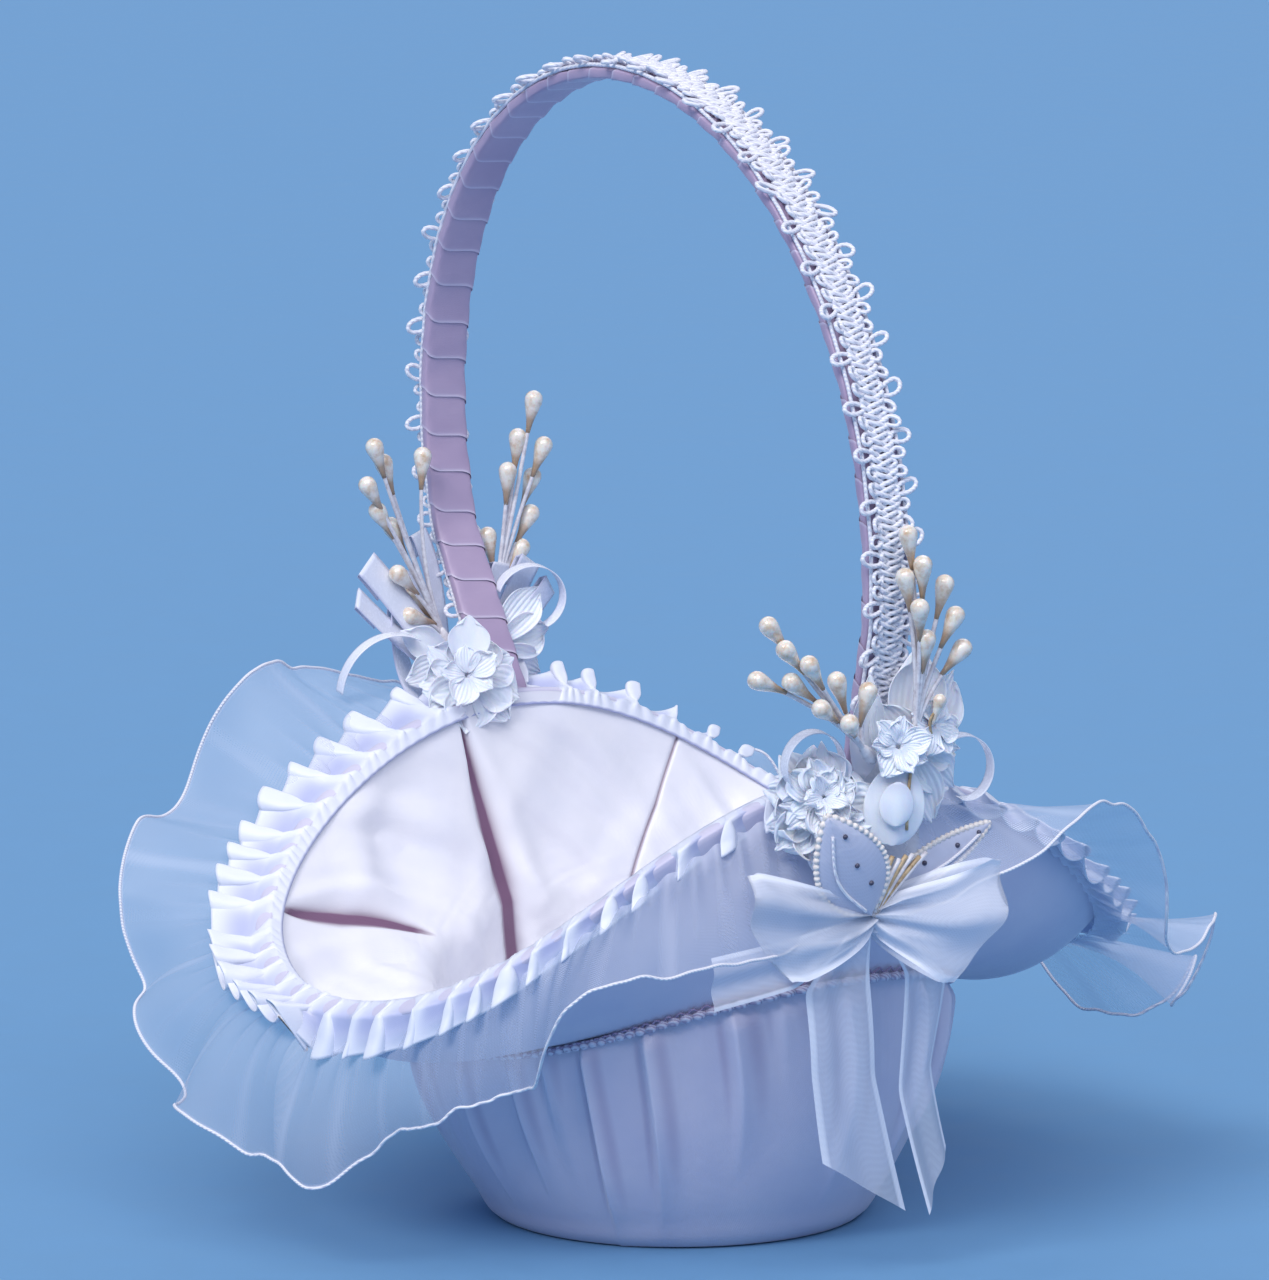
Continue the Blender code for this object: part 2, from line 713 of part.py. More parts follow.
def ribbon_loop(name, centre, radius, y_low, y_high, start, end, look=SATIN_LOOK, squash=1.0):
    """A narrow ribbon bent into an open loop in the XZ plane."""
    steps = 14
    half = 0.0004
    sections = []
    for i in range(steps + 1):
        a = math.radians(mix(start, end, i / steps))
        way = Vector((math.cos(a), math.sin(a) * squash))
        inside = Vector(centre) + way * (radius - half)
        outside = Vector(centre) + way * (radius + half)
        sections.append([Vector((inside.x, y_low, inside.y)), Vector((inside.x, y_high, inside.y)),
                         Vector((outside.x, y_high, outside.y)), Vector((outside.x, y_low, outside.y))])
    return loft_solid(name, sections, look)


def bow_loop(name, root, tip, root_half, tip_half, depth):
    """A flattened loop of wide ribbon: narrow at the knot, full towards its end."""
    sections = []
    for share in (0.0, 0.25, 0.5, 0.75, 0.93, 1.0):
        centre = Vector(root).lerp(Vector(tip), share)
        half = mix(root_half, tip_half, smoothstep(0, 0.85, share))
        thick = 0.0012 + depth * math.sin(math.pi * min(share * 0.62 + 0.06, 1.0))
        if share == 1.0:
            thick *= 0.45
        ring = []
        for k in range(8):
            a = 2 * math.pi * (k + 0.5) / 8
            rise = math.copysign(abs(math.cos(a)) ** 0.6, math.cos(a))
            ring.append(centre + Vector((0, thick * math.sin(a), half * rise)))
        sections.append(ring)
    return loft_solid(name, sections, SHEER_LOOK)


def front_cluster():
    """Flowers, leaves, pearls, ribbon and bow on the outside of the front foot."""
    plate("flower_pad_front", ellipse_outline((0.001, 0.126), 0.013, 0.022), -0.1012,
          PADDING_LOOK, 0.0014)
    blossom("flower_front_lower", Vector((0.004, -0.1060, 0.1335)), 0.0140, 0.0050, 6, -1)
    blossom("flower_front_left", Vector((-0.024, -0.1030, 0.1400)), 0.0125, 0.0010, 5, -1)
    blossom("flower_front_upper", Vector((0.009, -0.1095, 0.1635)), 0.0125, 0.0012, 5, -1)
    plate("leaf_front_left", leaf_outline((-0.0125, 0.1145), (-0.026, 0.1375), 0.017), -0.1085, PETAL_LOOK)
    plate("leaf_front_right", leaf_outline((0.0035, 0.1135), (0.0345, 0.1270), 0.008), -0.1085, PETAL_LOOK)
    stamens("stamens_front", (-0.0035, -0.1120, 0.1140),
            [(-0.0030 + 0.0040 * i, -0.1150, 0.1215 - 0.0007 * i) for i in range(4)])
    pearl_spray("pearl_spray_front_left", (-0.0135, -0.1120, 0.1500),
                [(-0.0405, -0.111, 0.1860), (-0.0355, -0.114, 0.1780), (-0.0450, -0.110, 0.1715),
                 (-0.0345, -0.112, 0.1690), (-0.0275, -0.116, 0.1740), (-0.0255, -0.112, 0.1640),
                 (-0.0195, -0.115, 0.1675), (-0.0125, -0.118, 0.1625)])
    pearl_spray("pearl_spray_front_right", (0.0020, -0.1145, 0.1500),
                [(0.0040, -0.114, 0.2090), (0.0090, -0.117, 0.1985), (0.0030, -0.117, 0.1950),
                 (0.0145, -0.113, 0.1905), (0.0070, -0.120, 0.1860), (0.0190, -0.115, 0.1820),
                 (0.0100, -0.117, 0.1760), (0.0205, -0.114, 0.1730)])
    ribbon_loop("ribbon_loop_front_left", (-0.0290, 0.1625), 0.0085, -0.1075, -0.1030, -60, 235)
    ribbon_loop("ribbon_loop_front_right", (0.0310, 0.1450), 0.0080, -0.1075, -0.1030, -110, 190)


def stamens(name, base, tips):
    """A small fan of thick threads from one bound point."""
    root = Vector(base)
    profile = [(-0.0014, 0.0010), (-0.0004, 0.0020), (0.0012, 0.0020), (0.0024, 0.0012)]
    first = turned_along("bound", profile, root, Vector((0.3, 0, 1)), STAMEN_LOOK, segments=8)
    others = [stem(root, Vector(tip), Vector((0, 0, 0)))[0] for tip in tips]
    return unite(name, first, others, STAMEN_LOOK)


def bow():
    """The sheer bow under the front flowers, with its tails."""
    knot_at = Vector((-0.0067, -0.1090, 0.1065))
    profile = [(-0.0050, 0.0018), (-0.0030, 0.0040), (0.0, 0.0046), (0.0030, 0.0040), (0.0050, 0.0018)]
    turned_along("bow_knot", profile, knot_at, Vector((0, 0, 1)), SHEER_LOOK)
    bow_loop("bow_loop_left", (-0.0125, -0.1090, 0.1060), (-0.0600, -0.1110, 0.1030), 0.0040, 0.0140, 0.0040)
    bow_loop("bow_loop_right", (-0.0010, -0.1090, 0.1060), (0.0400, -0.1110, 0.1000), 0.0040, 0.0160, 0.0040)
    plate("bow_short_tail", [(-0.012, 0.1070), (-0.058, 0.0963), (-0.059, 0.0828), (-0.012, 0.0985)],
          -0.1026, SHEER_LOOK)
    plate("bow_tail_left", [(-0.006, 0.1000), (-0.013, 0.0980), (-0.0275, 0.0860), (-0.0240, 0.0600),
                            (-0.0208, 0.0366), (0.0079, 0.0174), (0.0, 0.0560), (-0.0070, 0.0900)],
          -0.1042, SHEER_LOOK)
    plate("bow_tail_right", [(-0.005, 0.1000), (0.0035, 0.0895), (0.0090, 0.0520), (0.0155, 0.0147),
                             (0.0217, 0.0331), (0.0190, 0.0600), (0.0154, 0.0860), (0.0, 0.1005)],
          -0.1060, SHEER_LOOK)


def back_cluster():
    """The smaller cluster at the back foot: one flower inside the handle, the rest behind it."""
    blossom("flower_back", Vector((-0.0130, 0.0880, 0.1525)), 0.0092, 0.0010, 5, -1)
    pearl_spray("pearl_spray_back_left", (-0.0135, 0.1110, 0.1600),
                [(-0.0345, 0.110, 0.2160), (-0.0325, 0.114, 0.2075), (-0.0385, 0.111, 0.2050),
                 (-0.0345, 0.112, 0.1960), (-0.0290, 0.115, 0.1905), (-0.0255, 0.110, 0.1775),
                 (-0.0220, 0.116, 0.1690), (-0.0170, 0.120, 0.2090)])
    pearl_spray("pearl_spray_back_right", (0.0135, 0.1170, 0.1640),
                [(0.0270, 0.119, 0.2260), (0.0215, 0.121, 0.2150), (0.0300, 0.118, 0.2120),
                 (0.0175, 0.118, 0.2050), (0.0265, 0.122, 0.2030), (0.0255, 0.119, 0.1925),
                 (0.0135, 0.122, 0.1860), (0.0220, 0.119, 0.1805)])
    ribbon_loop("ribbon_loop_back_left", (-0.0370, 0.1640), 0.0110, 0.1080, 0.1160, -50, 250,
                SHEER_LOOK, 1.25)
    ribbon_loop("ribbon_loop_back_right", (0.0300, 0.1690), 0.0085, 0.1080, 0.1125, -130, 160)
    ribbon_loop("ribbon_loop_back_side", (-0.0330, 0.1450), 0.0130, 0.1010, 0.1055, 60, 170)
    plate("leaf_back_left", leaf_outline((-0.0120, 0.1480), (-0.0270, 0.1660), 0.010), 0.1035, PETAL_LOOK)
    plate("leaf_back_right", leaf_outline((0.0110, 0.1470), (0.0290, 0.1650), 0.014), 0.1035, PETAL_LOOK)


def build():
    """Make every piece of the basket."""
    clear_scene()
    bottom_cover()
    base_board()
    base_padding()
    bowl_shell()
    outer_cover()
    seam_gimp()
    rim_wire()
    lining()
    satin_ruffle()
    organza_ruffle()
    ruffle_edge_wire()
    handle_braid()
    drilled = [brim_shell(), brim_cover(), wall_padding(), handle_core(), handle_wrap()]
    for side, name in ((-1, "handle_rivet_front"), (1, "handle_rivet_back")):
        handle_rivet(name, side)
        cutter = rivet_hole(side)
        for thing in drilled:
            cut(thing, cutter)
    front_cluster()
    bow()
    back_cluster()


build()
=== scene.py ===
"""Looks of a flower girl basket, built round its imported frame: gathered satin bowl and brim, darted
lining, folded and sheer ruffles, ribbon-wrapped handle with looped braid, flowers, pearls and bow.

Metres, +Z up. The wings droop towards -X and +X. The handle's feet are at +Y and -Y.
"""
import math
import random

import bmesh
import bpy
import numpy as np
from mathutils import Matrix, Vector


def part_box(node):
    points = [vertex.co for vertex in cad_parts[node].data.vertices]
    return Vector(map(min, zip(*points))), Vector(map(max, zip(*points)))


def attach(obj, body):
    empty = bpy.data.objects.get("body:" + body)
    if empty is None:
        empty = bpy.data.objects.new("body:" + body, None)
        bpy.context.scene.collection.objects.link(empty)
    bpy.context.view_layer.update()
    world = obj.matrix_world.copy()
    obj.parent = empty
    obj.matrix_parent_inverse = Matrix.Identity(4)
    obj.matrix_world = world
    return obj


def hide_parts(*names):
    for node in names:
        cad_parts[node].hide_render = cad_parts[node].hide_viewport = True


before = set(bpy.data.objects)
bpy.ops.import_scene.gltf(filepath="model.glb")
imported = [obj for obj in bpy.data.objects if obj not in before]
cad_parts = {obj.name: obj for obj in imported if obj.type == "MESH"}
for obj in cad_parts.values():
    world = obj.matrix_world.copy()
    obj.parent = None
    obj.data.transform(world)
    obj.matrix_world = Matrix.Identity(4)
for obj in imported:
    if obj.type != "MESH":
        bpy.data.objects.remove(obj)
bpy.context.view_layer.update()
MM = 0.001
PI = math.pi

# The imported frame's outlines: harmonics of the angle round the basket, in metres.
RIM_X, RIM_Y, RIM_Z = (0.1267, -0.0031), (0.0976, 0.0074), (0.1029, -0.0339, 0.0026)
SEAM_Z = (0.0697, 0.0030, -0.0100)
BASE_RADIUS, BOWL_SWELL, BOWL_HEIGHT = 0.054, 0.024, 0.072
BRIM_BULGE, WING_BULGE = 0.0015, 0.0065
ARCH_CENTRE_Z, ARCH_RADIUS = 0.2536, (0.0764, 0.01291, -0.000055, -0.000021)
ARCH_LEAN, ARCH_LEAN_Z = 0.1104, 0.11  # sideways lean for each metre above a height
FOOT_OFFSET, FOOT_END_Z, FOOT_BLEND_Z = 2.3 * MM, 0.104, (0.14, 0.175)
BRAID_END_Z = 0.150
RING_RIBBON, RING_TWIST = 4.6, 4 * MM  # width in mm of the narrow ribbon rings, and their twist
FLOOR_Z = 9.2 * MM              # the lining's floor
FRONT_Y, BACK_Y = -103, 93      # the planes in which the two clusters are laid out, in mm
SIGHT_X, SIGHT_Z = 0.662, -0.2  # how a piece shifts as it comes nearer, so that it keeps its place in view

SATIN_THREAD, SHEER_THREAD, PETAL_THREAD = 0.00035, 0.0006, 0.0004  # weave pitches, in metres
WAVE_TURNS = 0.314              # a wave texture's scale for one band a metre
SATIN_PAINTED_SHADE_SHARE = 0.14               # share of the painted shade colour on all the satin; the painted highlight along the gathers' crests takes it away


# ---------------------------------------------------------------- number helpers
def smooth(low, high, value):
    """0 at low, 1 at high, smooth between."""
    t = np.clip((value - low) / (high - low), 0.0, 1.0)
    return t * t * (3 - 2 * t)


def mix(a, b, t):
    """The value t of the way from a to b."""
    return a + (b - a) * t


def round_trip(table, angle):
    """Smooth closed curve through rows of (degrees, value, ...), read at angles in degrees."""
    rows = np.array(table, float)
    keys = np.concatenate([rows[-2:, 0] - 360, rows[:, 0], rows[:2, 0] + 360])
    values = np.concatenate([rows[-2:, 1:], rows[:, 1:], rows[:2, 1:]])
    angle = np.mod(np.asarray(angle, float) - rows[0, 0], 360) + rows[0, 0]
    at = np.clip(np.searchsorted(keys, angle, side="right") - 1, 1, len(keys) - 3)
    k0, k1, k2, k3 = (keys[at + i] for i in (-1, 0, 1, 2))
    v0, v1, v2, v3 = (values[at + i] for i in (-1, 0, 1, 2))
    span = (k2 - k1)[..., None]
    t = ((angle - k1) / (k2 - k1))[..., None]
    m1 = (v2 - v0) / (k2 - k0)[..., None] * span
    m2 = (v3 - v1) / (k3 - k1)[..., None] * span
    return ((2 * t ** 3 - 3 * t ** 2 + 1) * v1 + (t ** 3 - 2 * t ** 2 + t) * m1
            + (3 * t ** 2 - 2 * t ** 3) * v2 + (t ** 3 - t ** 2) * m2)


def ripple(t, seed, waves, rough=0.6):
    """Smooth noise that closes on itself: a few harmonics of an angle, about -1 to 1."""
    draw = random.Random(seed)
    total = np.zeros_like(np.asarray(t, float))
    size = 0.0
    for k in range(5):
        weight = rough ** k
        count = max(1, round(waves * (1 + 0.55 * k) + draw.uniform(-1, 1)))
        total = total + weight * np.sin(count * t + draw.uniform(0, 2 * PI))
        size += weight ** 2
    return total / math.sqrt(size / 2) / 2


def hump(value, middle, width):
    """1 at the middle, falling smoothly to 0 on both sides."""
    return np.exp(-((value - middle) / width) ** 2)


def near(degrees, middle, spread):
    """A hump over angles, which come round again."""
    return hump(np.mod(degrees - middle + 180, 360), 180, spread)


def unit(way):
    """A direction of length 1."""
    return way / np.linalg.norm(way)


def arrays(*values):
    """Points or directions as arrays of numbers."""
    return [np.array(value, float) for value in values]


# ---------------------------------------------------------------- mesh helpers
def add_object(name, data):
    """A new object in the scene."""
    thing = bpy.data.objects.new(name, data)
    bpy.context.scene.collection.objects.link(thing)
    return thing


class Shape:
    """Collects grids of points, each with a tint value per point, into one mesh."""

    def __init__(self):
        self.points, self.faces, self.tints, self.count = [], [], [], 0

    def grid(self, points, tint=0.0, wrap_u=False, wrap_v=False):
        """Add rows of points. wrap_u closes each row, wrap_v joins the last row to the first."""
        points = np.asarray(points, float)
        rows, cols = points.shape[:2]
        index = self.count + np.arange(rows * cols).reshape(rows, cols)
        if wrap_u:
            index = np.hstack([index, index[:, :1]])
        if wrap_v:
            index = np.vstack([index, index[:1]])
        quads = np.stack([index[:-1, :-1], index[:-1, 1:], index[1:, 1:], index[1:, :-1]], -1)
        self.points.append(points.reshape(-1, 3))
        self.faces.append(quads.reshape(-1, 4))
        self.tints.append(np.broadcast_to(np.asarray(tint, float), (rows, cols)).reshape(-1))
        self.count += rows * cols

    def tube(self, line, radius, sides=8, closed=False, tint=0.0):
        """Add a round cord along a line of points, tapering to closed ends."""
        line = np.asarray(line, float)
        radius = np.broadcast_to(np.asarray(radius, float), (len(line),)).copy()
        tint = np.broadcast_to(np.asarray(tint, float), (len(line),))
        if closed:
            ahead = np.roll(line, -1, 0) - np.roll(line, 1, 0)
        else:
            ahead = np.gradient(line, axis=0)
            line, ahead = (np.vstack([rows[:1], rows, rows[-1:]]) for rows in (line, ahead))
            radius = np.concatenate([[0.0], radius, [0.0]])
            tint = np.concatenate([tint[:1], tint, tint[-1:]])
        ahead /= np.linalg.norm(ahead, axis=1, keepdims=True)
        side = np.cross(ahead[0], (0.31, 0.42, 0.85))
        sides_at = []
        for way in ahead:
            side = unit(side - way * side.dot(way))
            sides_at.append(side)
        across = np.array(sides_at)
        other = np.cross(ahead, across)
        if closed:
            drift = math.atan2(across[0].dot(np.cross(ahead[0], across[-1])), across[0].dot(across[-1]))
            turn = np.linspace(0, drift, len(line))[:, None]
            across, other = (across * np.cos(turn) + other * np.sin(turn),
                             other * np.cos(turn) - across * np.sin(turn))
        a = np.linspace(0, 2 * PI, sides, endpoint=False)[None, :, None]
        ring = across[:, None] * np.cos(a) + other[:, None] * np.sin(a)
        points = line[:, None] + ring * radius[:, None, None]
        self.grid(points, np.repeat(tint[:, None], sides, 1), wrap_u=True, wrap_v=closed)

    def make(self, name, look, slot, nodes=(), thickness=0.0):
        """Weld and link the mesh as a named piece on the basket's one body."""
        mesh = bpy.data.meshes.new(name)
        mesh.from_pydata(np.vstack(self.points).tolist(), [], np.vstack(self.faces).tolist())
        field = mesh.attributes.new("tint", "FLOAT", "POINT")
        field.data.foreach_set("value", np.concatenate(self.tints).astype(np.float32))
        bm = bmesh.new()
        bm.from_mesh(mesh)
        bmesh.ops.remove_doubles(bm, verts=bm.verts, dist=1e-6)
        bmesh.ops.recalc_face_normals(bm, faces=bm.faces)
        bm.to_mesh(mesh)
        bm.free()
        mesh.shade_smooth()
        thing = add_object(name, mesh)
        mesh.materials.append(look)
        if thickness:
            skin = thing.modifiers.new("thickness", "SOLIDIFY")
            skin.thickness = thickness
            skin.offset = 0.0
        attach(thing, "root")
        if nodes:
            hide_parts(*nodes)
        return thing


# ---------------------------------------------------------------- material helpers
class Look:
    """A Principled material built up node by node."""

    def __init__(self, name, **fixed):
        self.material = bpy.data.materials.new(name)
        self.material.use_nodes = True
        self.tree = self.material.node_tree
        self.shader = self.tree.nodes["Principled BSDF"]
        for socket, value in fixed.items():
            self.shader.inputs[socket.replace("_", " ")].default_value = value
        self.coords = self.node("ShaderNodeTexCoord").outputs["Object"]

    def node(self, kind, **settings):
        made = self.tree.nodes.new(kind)
        for key, value in settings.items():
            setattr(made, key, value)
        return made

    def link(self, source, socket):
        self.tree.links.new(source, socket)

    def noise(self, scale, detail=3.0, stretch=None, roughness=0.55):
        """Noise of so many cells a metre, optionally stretched."""
        made = self.node("ShaderNodeTexNoise")
        made.inputs["Scale"].default_value = scale
        made.inputs["Detail"].default_value = detail
        made.inputs["Roughness"].default_value = roughness
        source = self.coords
        if stretch:
            bent = self.node("ShaderNodeMapping")
            bent.inputs["Scale"].default_value = stretch
            self.link(source, bent.inputs["Vector"])
            source = bent.outputs["Vector"]
        self.link(source, made.inputs["Vector"])
        return made.outputs["Fac"]

    def weave(self, pitch, turned=0.0):
        """Two crossing sets of fine threads."""
        bent = self.node("ShaderNodeMapping")
        bent.inputs["Rotation"].default_value = (0.4, 0.7, turned)
        self.link(self.coords, bent.inputs["Vector"])
        sets = []
        for way in ("X", "Y"):
            threads = self.node("ShaderNodeTexWave", bands_direction=way)
            threads.inputs["Scale"].default_value = WAVE_TURNS / pitch
            threads.inputs["Distortion"].default_value = 0.6
            threads.inputs["Detail"].default_value = 1.0
            self.link(bent.outputs["Vector"], threads.inputs["Vector"])
            sets.append(threads.outputs["Fac"])
        return self.maths("MAXIMUM", sets[0], sets[1])

    def maths(self, operation, a, b):
        made = self.node("ShaderNodeMath", operation=operation)
        for slot, value in enumerate((a, b)):
            if isinstance(value, (int, float)):
                made.inputs[slot].default_value = value
            else:
                self.link(value, made.inputs[slot])
        return made.outputs[0]

    def tint(self):
        return self.node("ShaderNodeAttribute", attribute_name="tint").outputs["Fac"]

    def ramp(self, value, *stops):
        """Colours or greys at (place, value) stops along a 0 to 1 value."""
        made = self.node("ShaderNodeValToRGB")
        elements = made.color_ramp.elements
        while len(elements) < len(stops):
            elements.new(0.5)
        for element, (place, colour) in zip(elements, stops):
            element.position = place
            colour = (colour,) * 3 if isinstance(colour, (int, float)) else colour
            element.color = (*colour, 1.0)
        self.link(value, made.inputs["Fac"])
        return made.outputs["Color"]

    def blend(self, factor, a, b, mode="MIX"):
        """Mix two colours, either of which may be a node's output."""
        made = self.node("ShaderNodeMix", data_type="RGBA", blend_type=mode)
        for name, value in (("Factor", factor), ("A", a), ("B", b)):
            socket = [s for s in made.inputs if s.name == name and s.enabled][0]
            if isinstance(value, (int, float)):
                socket.default_value = value
            elif isinstance(value, tuple):
                socket.default_value = (*value, 1.0)
            else:
                self.link(value, socket)
        return [s for s in made.outputs if s.enabled][0]

    def colour(self, value):
        self.link(value, self.shader.inputs["Base Color"])

    def rough(self, value, low, high):
        """Roughness that runs from low to high with a noise."""
        self.link(self.ramp(value, (0.3, low), (0.7, high)), self.shader.inputs["Roughness"])

    def bump(self, height, strength, distance, below=None):
        """Bump in metres, on top of an earlier bump."""
        made = self.node("ShaderNodeBump")
        made.inputs["Strength"].default_value = strength
        made.inputs["Distance"].default_value = distance
        self.link(height, made.inputs["Height"])
        if below:
            self.link(below, made.inputs["Normal"])
        self.link(made.outputs["Normal"], self.shader.inputs["Normal"])
        return made.outputs["Normal"]


def satin_look(name, light, shade, deep, roughness=0.36):
    """Satin: fine threads, faint slubs, and a painted colour laid on where the tint attribute says: painted
    shade inside folds, and on the handle wrap a painted highlight along each turn's edge.
    """
    look = Look(name, Sheen_Weight=0.25, Sheen_Roughness=0.4, Specular_IOR_Level=0.45)
    cloudy = look.ramp(look.noise(38, 3), (0.35, light), (0.75, shade))
    # The tint attribute mixes in the third colour: painted shade in folds; for the handle wrap it is a
    # lighter colour, a painted highlight.
    look.colour(look.blend(look.tint(), cloudy, deep))
    look.rough(look.noise(900, 2), roughness - 0.05, roughness + 0.08)
    soft = look.bump(look.noise(160, 4), 0.25, 0.0006)
    look.bump(look.weave(SATIN_THREAD), 0.35, 0.00006, soft)
    return look.material


def sheer_look(name, colour, low, high):
    """Sheer cloth: mostly open weave, denser where the tint says so."""
    look = Look(name, Sheen_Weight=0.35, Sheen_Roughness=0.35, Specular_IOR_Level=0.5)
    threads = look.weave(SHEER_THREAD, 0.3)
    cloudy = look.noise(60, 3)
    look.colour(look.ramp(cloudy, (0.3, colour), (0.8, tuple(0.93 * c for c in colour))))
    open_share = look.maths("ADD", look.maths("MULTIPLY", threads, 0.05),
                            look.maths("MULTIPLY", cloudy, 0.08))
    dense = look.maths("ADD", look.maths("MULTIPLY", look.tint(), high - low), low - 0.065)
    look.link(look.maths("ADD", dense, open_share), look.shader.inputs["Alpha"])
    look.rough(cloudy, 0.32, 0.45)
    look.bump(threads, 0.3, 0.0001)
    return look.material


def cord_look(name, light, dark, pitch=0.0009):
    """Twisted cord: fine slanting strands, with painted shade in the grooves between them and wherever the
    tint attribute says.
    """
    look = Look(name, Roughness=0.55, Sheen_Weight=0.3, Sheen_Roughness=0.5)
    strands = look.node("ShaderNodeTexWave", bands_direction="DIAGONAL")
    strands.inputs["Scale"].default_value = WAVE_TURNS / pitch
    strands.inputs["Distortion"].default_value = 1.2
    look.link(look.coords, strands.inputs["Vector"])
    # Painted shade: the strands' colour darkens in the grooves that the same wave makes in the bump.
    body = look.ramp(strands.outputs["Fac"], (0.0, dark), (0.55, light))
    look.colour(look.blend(look.tint(), body, dark))
    look.bump(strands.outputs["Fac"], 0.6, 0.00025)
    return look.material


def petal_look(name, light, shade, veins):
    """Stiffened cloth petal: faint veins, and painted shade making the throat cooler and darker."""
    look = Look(name, Sheen_Weight=0.2, Sheen_Roughness=0.5, Specular_IOR_Level=0.3,
                Subsurface_Weight=0.12, Subsurface_Scale=0.002)
    body = look.ramp(look.noise(veins, 4, (1.0, 1.0, 0.25)), (0.3, shade), (0.6, light))
    look.colour(look.blend(look.tint(), body, tuple(0.86 * c for c in shade)))
    look.rough(look.noise(300, 2), 0.5, 0.65)
    soft = look.bump(look.noise(veins * 2, 4, (1.0, 1.0, 0.3)), 0.25, 0.0003)
    look.bump(look.weave(PETAL_THREAD), 0.3, 0.00006, soft)
    return look.material


def pearl_look():
    """Waxed pearl: cream head with warm patches, and painted shade that turns it dark brown towards the
    neck.
    """
    look = Look("pearl", Coat_Weight=0.7, Coat_Roughness=0.12, Specular_IOR_Level=0.6,
                Subsurface_Weight=0.15, Subsurface_Scale=0.001)
    patch = look.ramp(look.noise(420, 3), (0.42, (0.93, 0.87, 0.77)), (0.74, (0.66, 0.47, 0.30)))
    look.colour(look.blend(look.tint(), patch, (0.40, 0.27, 0.17)))
    look.rough(look.noise(900, 2), 0.16, 0.30)
    look.bump(look.noise(700, 3), 0.2, 0.0002)
    return look.material


def plain_look(name, light, dark, scale, roughness, bump, metallic=0.0, stretch=None):
    """A mottled or grained surface."""
    look = Look(name, Metallic=metallic)
    grain = look.noise(scale, 5, stretch)
    look.colour(look.ramp(grain, (0.35, dark), (0.65, light)))
    look.rough(grain, roughness - 0.08, roughness + 0.08)
    look.bump(grain, 0.5, bump)
    return look.material


# The satin's third colour is painted shade, laid into the gathers' creases.
SATIN = satin_look("satin", (0.78, 0.75, 0.87), (0.67, 0.66, 0.82), (0.25, 0.18, 0.36))
# The lining's third colour is painted shade, dark mauve inside the darts' gaps.
LINING = satin_look("lining_satin", (0.92, 0.91, 0.95), (0.84, 0.845, 0.92), (0.21, 0.11, 0.19))
# The ruffle's third colour is painted shade, blue in the valleys between pleats.
RUFFLE = satin_look("ruffle_satin", (0.87, 0.89, 0.96), (0.78, 0.82, 0.94), (0.30, 0.34, 0.66))
# For the wrap the third colour is lighter: a painted highlight along each turn's lapped edge.
WRAP = satin_look("wrap_ribbon", (0.50, 0.39, 0.54), (0.42, 0.32, 0.48), (0.84, 0.80, 0.93), 0.34)
# The ribbon's third colour is painted shade, laid along the folded ribbons' edges.
RIBBON = satin_look("ribbon_satin", (0.90, 0.92, 0.99), (0.76, 0.80, 0.95), (0.46, 0.46, 0.70), 0.24)
ORGANZA = sheer_look("organza", (0.80, 0.84, 0.98), 0.24, 0.84)
BOW_SHEER = sheer_look("bow_organza", (0.86, 0.90, 1.0), 0.40, 0.95)
LEAF_SHEER = sheer_look("leaf_organza", (0.67, 0.71, 0.87), 0.72, 1.0)
EDGE = cord_look("edge_cord", (0.95, 0.96, 1.0), (0.74, 0.72, 0.84), 0.0006)
# The trim's dark colour is painted shade, between the seam trim's puffs and in the grooves between strands.
TRIM = cord_look("trim_cord", (0.74, 0.72, 0.84), (0.40, 0.33, 0.48), 0.0008)
BRAID = cord_look("braid_cord", (0.94, 0.95, 1.0), (0.76, 0.75, 0.86))
PETAL = petal_look("petal", (0.93, 0.94, 0.98), (0.80, 0.83, 0.94), 220)
PEARL = pearl_look()
STEM = plain_look("stem_wax", (0.86, 0.85, 0.88), (0.66, 0.62, 0.66), 500, 0.3, 0.0002)
BRONZE = plain_look("stamen_bronze", (0.66, 0.50, 0.30), (0.36, 0.24, 0.13), 600, 0.32, 0.0003)
THREAD = plain_look("mauve_thread", (0.42, 0.33, 0.48), (0.30, 0.22, 0.36), 700, 0.6, 0.0002)
BEAD = plain_look("cream_bead", (0.95, 0.90, 0.84), (0.78, 0.70, 0.66), 700, 0.28, 0.0001)
DOT = plain_look("dark_dot", (0.10, 0.10, 0.16), (0.05, 0.05, 0.09), 500, 0.25, 0.0001)
FELT = plain_look("felt", (0.88, 0.88, 0.90), (0.74, 0.75, 0.80), 900, 0.9, 0.0004)
BOARD = plain_look("pressed_board", (0.55, 0.47, 0.37), (0.42, 0.35, 0.26), 420, 0.85, 0.0003)
STRIP = plain_look("strip_plastic", (0.90, 0.90, 0.91), (0.80, 0.80, 0.82), 250, 0.5, 0.0001,
                   stretch=(1.0, 1.0, 0.1))
STEEL = plain_look("bright_steel", (0.62, 0.62, 0.64), (0.45, 0.45, 0.47), 700, 0.35, 0.0001, 1.0)

KEPT = {"base_board": BOARD, "bowl_shell": BOARD, "brim_shell": BOARD, "rim_wire": STEEL,
        "handle_core": STRIP, "handle_rivet_front": STEEL, "handle_rivet_back": STEEL}
for kept_name, kept_look in KEPT.items():
    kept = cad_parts[kept_name]
    kept.data.materials.clear()
    kept.data.materials.append(kept_look)


